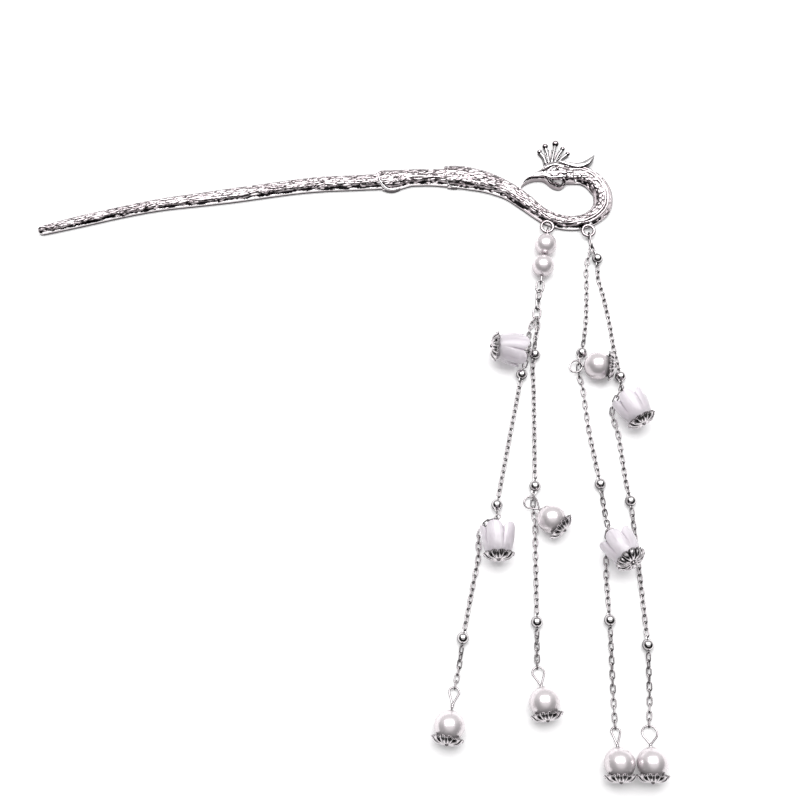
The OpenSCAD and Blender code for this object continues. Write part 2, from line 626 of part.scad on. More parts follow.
hairpin();
eye_pin();
small_pearl(pearl_1_at);  // small_pearl_1
small_pearl(pearl_2_at);  // small_pearl_2
large_links();
eyelet_ring();
chain(ROUTE_A);  // chain_a
chain(ROUTE_B);  // chain_b
chain(ROUTE_C);  // chain_c
chain(ROUTE_D);  // chain_d
ball(ROUTE_A, 0);  // ball_a1
ball(ROUTE_A, 1);  // ball_a2
ball(ROUTE_A, 2);  // ball_a3
ball(ROUTE_B, 0);  // ball_b1
ball(ROUTE_B, 1);  // ball_b2
ball(ROUTE_B, 2);  // ball_b3
ball(ROUTE_C, 0);  // ball_c1
ball(ROUTE_C, 1);  // ball_c2
ball(ROUTE_C, 2);  // ball_c3
ball(ROUTE_D, 0);  // ball_d1
ball(ROUTE_D, 1);  // ball_d2
ball(ROUTE_D, 2);  // ball_d3
ball(ROUTE_D, 3);  // ball_d4
pearl(DROP_A);  // pearl_a
pearl(DROP_B);  // pearl_b
pearl(DROP_C);  // pearl_c
pearl(DROP_D);  // pearl_d
pearl(DROP_SIDE_B);  // pearl_side_b
pearl(DROP_SIDE_C);  // pearl_side_c
bellflower(DROP_BELL_1);  // bell_1
bellflower(DROP_BELL_2);  // bell_2
bellflower(DROP_BELL_3);  // bell_3
bellflower(DROP_BELL_4);  // bell_4
flower_cap(DROP_A, pearl_d / 2);  // cap_a
flower_cap(DROP_B, pearl_d / 2);  // cap_b
flower_cap(DROP_C, pearl_d / 2);  // cap_c
flower_cap(DROP_D, pearl_d / 2);  // cap_d
flower_cap(DROP_SIDE_B, pearl_d / 2);  // cap_side_b
flower_cap(DROP_SIDE_C, pearl_d / 2);  // cap_side_c
flower_cap(DROP_BELL_1, bell_base);  // cap_bell_1
flower_cap(DROP_BELL_2, bell_base);  // cap_bell_2
flower_cap(DROP_BELL_3, bell_base);  // cap_bell_3
flower_cap(DROP_BELL_4, bell_base);  // cap_bell_4
head_pin(DROP_A, pearl_d / 2);  // pin_a
head_pin(DROP_B, pearl_d / 2);  // pin_b
head_pin(DROP_C, pearl_d / 2);  // pin_c
head_pin(DROP_D, pearl_d / 2);  // pin_d
head_pin(DROP_SIDE_B, pearl_d / 2);  // pin_side_b
head_pin(DROP_SIDE_C, pearl_d / 2);  // pin_side_c
head_pin(DROP_BELL_1, bell_base);  // pin_bell_1
head_pin(DROP_BELL_2, bell_base);  // pin_bell_2
head_pin(DROP_BELL_3, bell_base);  // pin_bell_3
head_pin(DROP_BELL_4, bell_base);  // pin_bell_4
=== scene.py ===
"""Looks of the buyao hairpin: a bright silver casting with bark relief and a phoenix head,
pearls and glass bellflowers under flower caps, on chain strands, lying on a pale floor.
Tables are in millimetres in the part's own frame: X right, Y up the picture, Z off the floor."""

import json
import math

import bpy
import numpy as np
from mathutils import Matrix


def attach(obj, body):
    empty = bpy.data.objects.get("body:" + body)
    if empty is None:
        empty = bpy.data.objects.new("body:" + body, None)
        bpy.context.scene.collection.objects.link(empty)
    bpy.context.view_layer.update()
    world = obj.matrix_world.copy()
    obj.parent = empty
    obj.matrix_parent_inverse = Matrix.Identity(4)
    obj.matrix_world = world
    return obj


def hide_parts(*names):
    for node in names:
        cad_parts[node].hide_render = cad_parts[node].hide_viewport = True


MM = 0.001
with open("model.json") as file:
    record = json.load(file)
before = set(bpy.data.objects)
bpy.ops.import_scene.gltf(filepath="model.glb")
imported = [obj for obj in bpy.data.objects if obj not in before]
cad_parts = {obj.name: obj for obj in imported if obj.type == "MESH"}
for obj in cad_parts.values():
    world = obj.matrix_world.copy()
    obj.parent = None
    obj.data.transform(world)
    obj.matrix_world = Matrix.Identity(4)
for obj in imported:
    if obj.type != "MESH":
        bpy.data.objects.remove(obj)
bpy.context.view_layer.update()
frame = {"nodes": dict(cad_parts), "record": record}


# Surfaces, each worked out on a grid of two parameters as whole arrays

# Fine cuts between two rows of a table, before the curve through them is cut evenly
CURVE_CUTS = 48
# Points of a skin that are nearer than this are one point
JOIN = 1e-4
# Rings in the rounded end of a wire, and sides and rows of a small ball
WIRE_END = 3
BALL_SIDES = 24
BALL_ROWS = 16


def curve(rows, step_mm):
    """Rows of any width as one smooth curve. Between two rows each column follows the cubic
    through its four nearest rows, then the curve is cut into equal steps of its length in plan.
    Returns the length so far and the rows at each cut."""
    rows = np.asarray(rows, float)
    padded = np.vstack([rows[:1], rows, rows[-1:]])
    t = np.linspace(0, len(rows) - 1, CURVE_CUTS * (len(rows) - 1) + 1)
    i = np.minimum(t.astype(int), len(rows) - 2)
    f = (t - i)[:, None]
    a, b, c, d = padded[i], padded[i + 1], padded[i + 2], padded[i + 3]
    squares = (2 * a - 5 * b + 4 * c - d) * f ** 2
    cubes = (3 * b - a - 3 * c + d) * f ** 3
    q = 0.5 * (2 * b + (c - a) * f + squares + cubes)
    run = np.concatenate([[0], np.cumsum(np.linalg.norm(np.diff(q[:, :2], axis=0), axis=1))])
    s = np.linspace(0, run[-1], max(int(round(run[-1] / step_mm)), 3) + 1)
    return s, np.stack([np.interp(s, run, q[:, k]) for k in range(q.shape[1])], axis=1)


def unit(v):
    """Each row divided by its length."""
    return v / np.maximum(np.linalg.norm(v, axis=-1, keepdims=True), 1e-9)


def mix(a, b, t):
    """a where t is 0, b where t is 1."""
    return a + (b - a) * t


def step(low, high, x):
    """0 on low's side, 1 on high's, and 3t^2 - 2t^3 between them, where t is the share of the way.
    Where low is the greater number, it falls as x rises."""
    t = np.clip((x - low) / (high - low), 0, 1)
    return t * t * (3 - 2 * t)


def shell(rings, loop=False):
    """A closed skin over rings of points: four-sided faces between neighbours, each cut in two,
    and a fan over each end unless the rings run round in a loop. Points that coincide are joined, and
    the faces are turned so that the enclosed volume, the sum of a.(b x c) / 6, is positive.
    A fourth column, where given, carries the point's colour mark: dark patina and painted shade where
    positive, painted highlight and wear where negative."""
    count, around, width = rings.shape
    v = rings.reshape(-1, width)
    i, j = np.meshgrid(np.arange(count if loop else count - 1), np.arange(around), indexing="ij")
    i, j = i.ravel(), j.ravel()
    next_i, next_j = (i + 1) % count, (j + 1) % around
    here, beside = i * around + j, i * around + next_j
    ahead, opposite = next_i * around + j, next_i * around + next_j
    tri = np.vstack([np.stack([here, ahead, opposite], 1), np.stack([here, opposite, beside], 1)])
    if not loop:
        v = np.vstack([v, rings[0].mean(axis=0), rings[-1].mean(axis=0)])
        j = np.arange(around)
        next_j = (j + 1) % around
        last_ring = (count - 1) * around
        first, last = np.full(around, count * around), np.full(around, count * around + 1)
        tri = np.vstack([tri, np.stack([next_j, j, first], 1),
                         np.stack([last_ring + j, last_ring + next_j, last], 1)])
    places = np.round(v[:, :3] / JOIN).astype(np.int64)
    _, keep, new = np.unique(places, axis=0, return_index=True, return_inverse=True)
    v, tri = v[keep], new.ravel()[tri]
    tri = tri[(tri[:, 0] != tri[:, 1]) & (tri[:, 1] != tri[:, 2]) & (tri[:, 0] != tri[:, 2])]
    a, b, c = (v[tri[:, corner], :3] for corner in range(3))
    if (a * np.cross(b, c)).sum() < 0:
        tri = tri[:, ::-1]
    if width == 3:
        v = np.hstack([v, np.zeros((len(v), 1))])
    return v, tri


def tube(path, radius, sides=12, loop=False, dark=0.0):
    """A round wire along a path: circles square to it, carried without twist from one point to the next.
    An open wire gets round ends, with the radius following a quarter circle. Its sides that face sideways and
    down can carry painted shade."""
    path = np.asarray(path, float)
    if loop:
        radii = np.full(len(path), radius)
        way = unit(np.roll(path, -1, axis=0) - np.roll(path, 1, axis=0))
    else:
        a = np.linspace(0, math.pi / 2, WIRE_END + 1)[1:]
        head, tail = unit(path[0] - path[1]), unit(path[-1] - path[-2])
        radii = np.concatenate([radius * np.cos(a[::-1]), np.full(len(path), radius), radius * np.cos(a)])
        path = np.vstack([path[0] + head * (radius * np.sin(a[::-1]))[:, None], path,
                          path[-1] + tail * (radius * np.sin(a))[:, None]])
        way = unit(np.gradient(path, axis=0))
    side = np.empty_like(path)
    s = np.cross(way[0], [0, 0, 1.0]) if abs(way[0][2]) < 0.9 else np.cross(way[0], [1.0, 0, 0])
    for n, w in enumerate(way):
        s = s - w * np.dot(s, w)
        s = s / np.linalg.norm(s)
        side[n] = s
    up = np.cross(way, side)
    t = np.linspace(0, 2 * math.pi, sides, endpoint=False)
    out = side[:, None] * np.cos(t)[None, :, None] + up[:, None] * np.sin(t)[None, :, None]
    shade = dark * step(0.8, 0.2, out[..., 2])
    return shell(np.dstack([path[:, None] + radii[:, None, None] * out, shade]), loop)


def ball(centre, radius, dark=0.0):
    """A sphere as rings from pole to pole: radius times the sine and cosine of two angles. Its sides can
    carry painted shade, more so towards -Y."""
    a = np.linspace(0, math.pi, BALL_ROWS + 1)[:, None]
    b = np.linspace(0, 2 * math.pi, BALL_SIDES, endpoint=False)[None]
    out = np.stack([np.sin(a) * np.cos(b), np.sin(a) * np.sin(b), np.cos(a) * np.ones_like(b)], axis=-1)
    shade = dark * step(0.85, 0.35, out[..., 2] + 0.45 * np.minimum(out[..., 1], 0))
    return shell(np.dstack([np.asarray(centre) + radius * out, shade]))


def turned(profile, sides):
    """A closed profile of (radius, height) points turned about the X axis."""
    profile = np.asarray(profile, float)
    b = np.linspace(0, 2 * math.pi, sides, endpoint=False)[:, None]
    return shell(np.stack([np.broadcast_to(profile[:, 1], (sides, len(profile))),
                           profile[:, 0] * np.cos(b), profile[:, 0] * np.sin(b)], axis=-1), loop=True)


def moved(made, change):
    """The same skin with its points changed by a function."""
    v, tri = made
    return np.hstack([change(v[:, :3]), v[:, 3:]]), tri


# Relief of the casting

# Grid of random cells before it repeats, and how far each row of cells is shifted along the next
CELL_GRID = (97, 89)
ROW_SHIFT = 0.37
# Random values along a wandering line before it repeats
WANDER_VALUES = 4096
# Length and width of the bark's long and short cells, and of the feathers
LONG_BARK = (3.4, 0.74)
SHORT_BARK = (1.5, 0.46)
FEATHER = (1.75, 0.85)
# Width of one smooth strand on the outside of the curl
STRAND = 0.95
# How high each stands, and the grip's smooth ridge
LONG_BARK_RISE = 0.36
SHORT_BARK_RISE = 0.12
FEATHER_RISE = 0.34
STRAND_RISE = 0.38
LEAF_RISE = 0.42


def cells(along, across, size, seed):
    """Long scattered cells. Each cell of a grid, with `size` its length and width, has one point set at
    random in it. Returns how much further a place is from its second nearest point than from its
    nearest, which is 0 on the border between two cells, and its own cell's random tone."""
    columns, rows = CELL_GRID
    table = np.random.default_rng(seed).random((columns, rows, 3))
    a, b = along / size[0], across / size[1]
    near, second, tone = np.full(a.shape, 9.0), np.full(a.shape, 9.0), np.zeros(a.shape)
    for row in (np.floor(b) + n for n in (-1, 0, 1)):
        run = a + ROW_SHIFT * row
        for col in (np.floor(run) + n for n in (-1, 0, 1)):
            r = table[col.astype(int) % columns, row.astype(int) % rows]
            d = np.hypot(run - col - 0.1 - 0.8 * r[..., 0], b - row - 0.15 - 0.7 * r[..., 1])
            nearer = d < near
            second = np.where(nearer, near, np.minimum(second, d))
            tone = np.where(nearer, r[..., 2], tone)
            near = np.where(nearer, d, near)
    return second - near, tone


def wander(x, seed, length):
    """A smooth random line between 0 and 1: random values every `length`, joined by cosine steps."""
    values = np.random.default_rng(seed).random(WANDER_VALUES)
    t = x / length
    i = np.floor(t).astype(int)
    f = (1 - np.cos(math.pi * (t - i))) / 2
    return mix(values[i % WANDER_VALUES], values[(i + 1) % WANDER_VALUES], f)


def pillow(gap, size):
    """A bump that is flat-topped in a cell and falls steeply to nothing at its border: the root of
    the gap's share of `size`."""
    return np.sqrt(np.clip(gap / size, 0, 1))


def bark(along, across, seed):
    """Bark: long pillows with short ones over them, on lines that wander a little. Each stands as high
    as its rise times its cell's tone. Returns the height and how much of a crease there is between
    the pillows."""
    bend = across + 0.5 * (wander(along, seed + 1, 3.6) - 0.5)
    gap, tone = cells(along, bend, LONG_BARK, seed)
    small, light = cells(along, bend, SHORT_BARK, seed + 2)
    long_ones = LONG_BARK_RISE * pillow(gap, 0.7) * (0.4 + 0.6 * tone)
    short_ones = SHORT_BARK_RISE * pillow(small, 0.6) * light
    crease = step(0.40, 0.06, gap) * (0.35 + 0.65 * wander(along + 3 * across, seed + 4, 1.1))
    return long_ones + short_ones, np.clip(0.8 * crease + 0.4 * step(0.18, 0.0, small) * light, 0, 1)


def feathers(along, across, seed):
    """Short feathers, as pillows of several heights with a crease between them."""
    gap, tone = cells(along, across, FEATHER, seed)
    return FEATHER_RISE * pillow(gap, 0.7) * (0.5 + 0.5 * tone), 0.9 * step(0.32, 0.05, gap)


def strands(along, across):
    """Long smooth strands: rounded ridges |sin|^0.6 that follow the path and swing a little across it."""
    wave = np.abs(np.sin((across + 0.2 * np.sin(along * 0.3)) * math.pi / STRAND))
    return STRAND_RISE * wave ** 0.6, 0.9 * step(0.35, 0.05, wave)


def blend(first, second, share):
    """Two reliefs, each a height and a crease, mixed by a share."""
    return mix(first[0], second[0], share), mix(first[1], second[1], share)


def stick_relief(along, across):
    """Bark all over the stick."""
    return bark(along, across, 11)


def grip_relief(along, across):
    """Bark, with one long smooth ridge low on the right half."""
    line = (across + 0.9 + 0.04 * (along - 14)) / 0.36
    leaf = np.exp(-line ** 2) * step(8.0, 10.5, along) * step(20.5, 18.0, along)
    smooth = (LEAF_RISE * np.ones_like(across), np.zeros_like(across))
    return blend(bark(along + 140, across, 23), smooth, 0.9 * leaf)


def hook_relief(along, across):
    """Bark as far as the bottom of the curl, then long strands on the outer half of the bend and
    short feathers on the inner half, and feathers alone up the neck."""
    bend = step(38.0, 50.0, along) * step(86.0, 74.0, along)
    neck = step(44.0, 54.0, along)
    outer = step(0.4, -0.4, across)
    base = blend(bark(along + 180, across, 37), feathers(along, across, 41), neck)
    return blend(base, strands(along, across), bend * outer)


# Bars and ridges of the casting

# Width of the rim, height of the plain wall, points across the bar's top and step along it
RIM_WIDTH = 0.30
WALL = 1.50
CROSS = 48
BAR_STEP = 0.22
# How much the bar's far and near side stand out past its row, and how far its crown stays under the
# row's top, which the relief reaches
FAR_WIDER = 0.12
NEAR_WIDER = 0.45
RELIEF_ROOM = 0.2
# The broken cut's depth, how softly its edges fall, and length and width of the cells that bridge it
CUT_DEPTH = 0.34
CUT_EDGE = 0.09
CUT_BRIDGE = (2.1, 0.36)
# The wall and the flat back, from one side to the middle: share of the half width, height, and mark, which is
# painted shade at the wall's foot and a painted highlight at its top
HALF_BACK = [(1.0, 1.25, -0.4), (1.0, 1.0, 0.1), (1.0, 0.8, 0.9), (0.985, 0.12, 0.95), (0.93, 0.0, 0.9),
             (0.5, 0.0, 1.0)]
BACK = HALF_BACK + [(0.0, 0.0, 1.0)] + [(-share, z, dark) for share, z, dark in reversed(HALF_BACK)]
# Step along a ridge, points across it, rings in its rounded end, and the painted shade on its edges and wall
RIDGE_STEP = 0.18
RIDGE_CROSS = 18
RIDGE_END = 6
RIDGE_DARK = 0.9


def cast_bar(rows, relief, seed):
    """The cast stick: a flat-backed section carried along a centre line of rows x, y, half width, top.
    It has a plain wall with a rounded rim, and a crown inside the rim with the relief on it. At the
    share f of the way in to the middle, the crown has risen by three quarters of 1 - (1 - f)^3.5 and
    one quarter of (1 - (1 - f)^2)^0.5 of its height. On the side towards -Y the section is wider, its
    edge carries a painted highlight, and a broken cut of changing width, darkened with painted shade,
    runs between the rim and the crown. The other side's edge carries a painted shade line, the wall's
    foot is painted dark as shade, and stretches of the top are worn a little brighter at random."""
    s, r = curve(rows, BAR_STEP)
    way = unit(np.gradient(r[:, :2], axis=0))
    left = np.stack([-way[:, 1], way[:, 0]], axis=1)
    v = mix(np.linspace(-1, 1, CROSS), np.sin(np.linspace(-math.pi / 2, math.pi / 2, CROSS)), 0.6)[None]
    front = np.clip(-np.sign(v) * left[:, 1:2], 0, 1)
    half = r[:, 2:3] + mix(FAR_WIDER, NEAR_WIDER, front)
    top = r[:, 3:4]
    across = v * half
    along = np.broadcast_to(s[:, None], across.shape)
    inward = half - np.abs(across)
    f = np.clip((inward - RIM_WIDTH) / (half - RIM_WIDTH), 0, 1)
    crown = (top - WALL - RELIEF_ROOM) * (0.75 * (1 - (1 - f) ** 3.5) + 0.25 * np.sqrt(1 - (1 - f) ** 2))
    height, crease = relief(along, across)

    # The broken cut is real relief on the side towards -Y; its dark fill is painted shade.
    middle = RIM_WIDTH + 0.22 + 0.3 * (wander(along, seed + 9, 2.6) - 0.5)
    thick = 0.10 + 0.33 * wander(along, seed + 7, 1.7) * step(0.02, 0.35, wander(along, seed + 8, 0.9))
    gap, tone = cells(along, inward, CUT_BRIDGE, seed + 10)
    bridges = step(0.35, 0.55, gap) * (tone > 0.55)
    cut = step(thick + CUT_EDGE, thick - CUT_EDGE, np.abs(inward - middle)) * (1 - bridges)
    cut = cut * step(0.2, 0.7, front)

    rounding = 0.18 * np.clip(1 - inward / 0.16, 0, 1) ** 2
    z = WALL + crown + height * step(0.0, 0.2, f) - CUT_DEPTH * cut - rounding
    # Painted shade along the edge away from -Y; a painted highlight on the rim towards -Y, mixed with random
    # wear; the bark's creases keep their dark patina.
    outline = 0.85 * step(0.36, 0.12, inward) * (1 - front)
    highlight_and_wear = np.maximum(step(RIM_WIDTH, 0.1, inward) * front, 0.35 * wander(along, seed + 11, 2.7))
    patina_and_painted_light = np.clip(cut + outline + crease * step(0.05, 0.25, f), 0, 1)
    patina_and_painted_light = np.where(patina_and_painted_light < 0.12, -highlight_and_wear, patina_and_painted_light)
    upper = np.dstack([r[:, None, :2] + left[:, None] * across[..., None], z, patina_and_painted_light])

    under = []
    for share, low, dark in BACK:
        edge = r[:, :2] + left * (share * (half[:, -1:] if share > 0 else half[:, :1]))
        under.append(np.hstack([edge, np.full((len(r), 1), low), np.full((len(r), 1), dark)]))
    return shell(np.concatenate([upper, np.stack(under, axis=1)], axis=1))


def cast_ridge(rows, low, crown=0.55, start=0.7, highlight_and_wear=0.7):
    """A cast ridge with a flat back, along rows x, y, half width, top. Its wall reaches up to `low`, or
    to 0.7 of a lower top. Across, its height over the wall is (1 - v^2)^crown of its full height. From
    the share `start` of its half width outwards, and down its wall, it is painted dark as shade, and
    inside it carries a painted highlight. Both ends are rounded by nearly a quarter circle."""
    r = curve(rows, RIDGE_STEP)[1]
    a = np.linspace(0, 1.45, RIDGE_END + 1)[1:]
    head, tail = unit(r[0, :2] - r[1, :2]), unit(r[-1, :2] - r[-2, :2])

    def rounded(end, way, angles):
        part = np.repeat(end[None], len(angles), axis=0)
        part[:, :2] += way * (end[2] * np.sin(angles))[:, None]
        part[:, 2] *= np.cos(angles)
        part[:, 3] = mix(end[3] * 0.55, end[3], np.cos(angles))
        return part

    r = np.vstack([rounded(r[0], head, a[::-1]), r, rounded(r[-1], tail, a)])
    way = unit(np.gradient(r[:, :2], axis=0))
    way[:RIDGE_END], way[-RIDGE_END:] = -head, tail
    left = np.stack([-way[:, 1], way[:, 0]], axis=1)
    v = np.sin(np.linspace(-math.pi / 2, math.pi / 2, RIDGE_CROSS))[None]
    top = r[:, 3:4]
    wall = np.minimum(low, top * 0.7)
    z = wall + (top - wall) * np.clip(1 - v ** 2, 0, 1) ** crown
    xy = r[:, None, :2] + left[:, None] * (v * r[:, 2:3])[..., None]
    edge = RIDGE_DARK * step(start, start + 0.27, np.abs(v))
    upper = np.dstack([xy, z, np.where(edge > 0.1, edge, -highlight_and_wear) * np.ones_like(z)])
    floor, dark = np.zeros((len(r), 1)), np.full((len(r), 1), RIDGE_DARK)
    under = [np.hstack([r[:, :2] + left * (share * r[:, 2:3]), floor, dark]) for share in (1, 0, -1)]
    return shell(np.concatenate([upper, np.stack(under, axis=1)], axis=1))


# Rows of the casting: x, y, half width, top
STICK = [
    [-90.1, 62.40, 0.30, 1.75], [-89.8, 62.48, 0.72, 2.12], [-88.9, 62.72, 1.02, 2.30],
    [-85.9, 63.58, 1.23, 2.33], [-77.8, 65.76, 1.43, 2.39], [-65.5, 68.87, 1.45, 2.47],
    [-54.3, 71.30, 1.58, 2.55], [-42.1, 73.07, 1.80, 2.64], [-32.9, 74.41, 1.98, 2.70],
    [-23.7, 75.84, 1.98, 2.76], [-14.5, 77.27, 2.00, 2.83], [-5.3, 78.28, 2.11, 2.89],
    [3.8, 78.70, 2.13, 2.95], [12.6, 79.20, 2.20, 3.01]]
GRIP = [
    [11.6, 79.29, 2.30, 2.95], [12.6, 79.51, 2.99, 3.19], [16.3, 79.64, 3.08, 3.21],
    [18.4, 79.95, 2.82, 3.17], [21.0, 80.39, 2.46, 3.14], [24.5, 80.52, 2.40, 3.14],
    [28.1, 80.52, 2.40, 3.14], [31.4, 80.43, 2.60, 3.16], [33.5, 80.52, 2.75, 3.17]]
HOOK = [
    [31.9, 80.61, 3.05, 3.20], [32.6, 80.66, 3.40, 3.35], [36.5, 80.61, 3.43, 3.38],
    [40.0, 79.95, 3.32, 3.37], [43.5, 79.14, 3.12, 3.34], [47.5, 77.60, 2.77, 3.30],
    [51.5, 75.50, 2.45, 3.26], [56.0, 72.00, 2.31, 3.24], [59.2, 69.10, 2.03, 3.20],
    [62.4, 66.90, 2.03, 3.20], [66.4, 65.45, 1.96, 3.20], [70.6, 65.20, 1.99, 3.20],
    [73.9, 65.96, 1.99, 3.20], [76.8, 67.80, 2.21, 3.22], [78.7, 70.00, 2.55, 3.27],
    [79.3, 72.59, 2.73, 3.29], [79.15, 75.15, 2.67, 3.27], [78.05, 77.40, 2.75, 3.24],
    [76.15, 79.70, 2.70, 3.23], [73.5, 81.25, 2.72, 3.23], [71.6, 81.40, 2.70, 3.22],
    [70.2, 81.45, 2.62, 3.15], [68.8, 81.50, 2.30, 2.90], [67.6, 81.50, 1.90, 2.30]]
# Lip of the first collar, at a slant across the stick and round its lower corner
FIRST_COLLAR = [
    [11.9, 81.7, 0.36, 2.5], [11.5, 81.0, 0.46, 3.35], [11.6, 79.5, 0.48, 3.45], [11.95, 78.2, 0.48, 3.15],
    [12.9, 77.0, 0.46, 2.6], [14.2, 76.1, 0.44, 2.1], [16.0, 75.95, 0.40, 1.9], [17.8, 76.5, 0.3, 1.75]]
# Edge of the second collar
SECOND_COLLAR = [
    [32.9, 83.5, 0.30, 2.5], [32.4, 82.5, 0.36, 3.3], [32.25, 80.6, 0.36, 3.4], [32.3, 78.8, 0.36, 3.1],
    [32.8, 77.6, 0.36, 2.4], [33.9, 77.0, 0.32, 1.8], [35.2, 76.95, 0.25, 1.65]]
# The feather that sweeps back from the head like a horn
HORN = [
    [66.6, 84.6, 0.30, 3.4], [68.6, 83.85, 0.60, 3.75], [71.2, 83.15, 0.82, 3.85], [73.1, 83.4, 0.90, 3.75],
    [74.6, 84.15, 0.92, 3.5], [75.8, 85.2, 0.72, 3.3], [76.7, 86.25, 0.46, 3.1], [77.1, 87.0, 0.22, 2.9]]
# The eye's centre and radius
EYE = (65.6, 82.1, 3.45)
EYE_R = 0.5


# Phoenix head

# The head's outline from the neck to the beak's tip: lower edge x, y, upper edge x, y, top
HEAD = [
    [71.3, 78.30, 71.2, 84.00, 3.20], [69.8, 78.25, 69.8, 84.45, 3.28], [68.5, 78.20, 68.7, 84.90, 3.34],
    [67.9, 77.30, 67.8, 85.20, 3.38], [66.8, 76.45, 66.8, 85.40, 3.42], [65.6, 76.35, 65.7, 85.60, 3.45],
    [64.4, 76.75, 64.5, 85.60, 3.45], [63.3, 77.60, 63.3, 85.20, 3.36], [62.3, 78.60, 62.2, 84.40, 3.20],
    [61.3, 79.20, 61.3, 83.30, 3.00], [59.6, 79.30, 60.2, 82.40, 2.75], [58.3, 79.10, 58.8, 81.70, 2.55],
    [57.1, 78.70, 57.3, 80.75, 2.35], [56.0, 78.05, 56.1, 79.40, 2.10], [55.2, 77.40, 55.2, 78.20, 1.90],
    [54.75, 76.95, 54.7, 77.35, 1.70]]
# Cuts in the head, each a row of x, y, half width
HEAD_CUTS = {
    "brow": [[61.0, 81.5, 0.12], [61.5, 81.7, 0.36], [62.4, 82.1, 0.40], [63.2, 82.55, 0.28],
             [64.0, 83.0, 0.18], [64.8, 83.25, 0.15], [65.7, 83.15, 0.12], [66.1, 83.05, 0.06]],
    "crown": [[62.2, 83.4, 0.06], [63.9, 84.1, 0.11], [65.3, 84.35, 0.13], [66.9, 83.85, 0.13],
              [68.3, 83.2, 0.14], [70.4, 82.5, 0.16]],
    "eye": [[64.9, 81.75, 0.08], [65.5, 81.4, 0.22], [66.15, 81.75, 0.10]],
    "lid": [[63.4, 81.45, 0.06], [63.9, 82.0, 0.10], [64.6, 82.55, 0.10], [65.5, 82.75, 0.10],
            [66.4, 82.35, 0.11], [67.3, 82.0, 0.11], [68.5, 81.7, 0.10], [70.3, 81.4, 0.06]],
    "mouth": [[54.9, 77.6, 0.08], [56.0, 78.75, 0.18], [57.1, 79.35, 0.25], [58.1, 79.65, 0.26],
              [59.6, 79.75, 0.24], [61.2, 79.75, 0.22], [62.1, 79.65, 0.14]],
    "jaw": [[62.0, 79.65, 0.12], [62.6, 79.05, 0.13], [63.0, 78.35, 0.13], [63.7, 77.75, 0.15],
            [64.5, 77.5, 0.24], [65.6, 77.3, 0.20], [66.1, 77.2, 0.08]],
    "cheek": [[63.3, 80.05, 0.08], [63.7, 79.8, 0.20], [64.3, 79.65, 0.13], [65.1, 79.7, 0.11],
              [66.2, 80.2, 0.15], [67.1, 80.25, 0.15], [67.9, 79.8, 0.13], [68.4, 78.95, 0.14]],
    "wattle": [[63.5, 78.85, 0.08], [64.1, 78.6, 0.15], [65.2, 78.6, 0.12], [66.1, 78.6, 0.12],
               [67.0, 78.75, 0.15], [67.6, 78.35, 0.22], [67.85, 77.7, 0.20], [67.3, 77.15, 0.14]],
    "hollow": [[68.2, 78.7, 0.16], [69.0, 79.0, 0.26], [69.8, 79.1, 0.28], [70.8, 79.0, 0.26]]}
# Raised ridges, each a row of x, y, half width
HEAD_RIDGES = {
    "brow": [[61.9, 82.8, 0.45], [63.0, 83.3, 0.5], [64.3, 83.75, 0.5], [65.5, 83.8, 0.45],
             [66.8, 83.4, 0.4], [68.4, 82.7, 0.3]],
    "cheek": [[62.6, 80.9, 0.5], [64.2, 80.7, 0.6], [66.4, 81.0, 0.5], [68.4, 80.7, 0.45]],
    "lobe": [[63.2, 79.2, 0.3], [64.6, 79.15, 0.36], [66.2, 79.3, 0.3], [67.2, 79.4, 0.34]],
    "beak": [[55.6, 78.6, 0.3], [57.3, 80.1, 0.4], [59.2, 80.8, 0.5], [61.0, 81.0, 0.5]]}
# Step along the head and points across it, and the step along a cut or ridge
HEAD_STEP = 0.13
HEAD_CROSS = 70
LINE_STEP = 0.12
# Height of the head's wall, rise of its ridges and depth of its cuts
HEAD_WALL = 1.1
RIDGE_RISE = 0.22
HEAD_CUT_DEPTH = 0.45
# Crest: stalk's foot x and y, ball x, y and radius
CREST = [
    [62.4, 84.9, 60.7, 88.9, 0.70], [63.3, 85.3, 62.5, 90.8, 0.84], [64.3, 85.5, 65.7, 91.7, 0.96],
    [65.3, 85.4, 67.8, 89.9, 0.70], [66.2, 85.0, 69.3, 88.2, 0.66]]
# How many times their radius in the table the balls are, and how many points the web has along it
BALL_SWELL = 1.06
WEB_CUTS = 41


def off_line(x, y, rows):
    """How far each place is from the nearest point of a line, in half widths of the line there."""
    near = curve(rows, LINE_STEP)[1]
    away = np.hypot(x[..., None] - near[:, 0], y[..., None] - near[:, 1])
    pick = away.argmin(axis=-1)
    return np.take_along_axis(away, pick[..., None], axis=-1)[..., 0] / near[pick, 2]


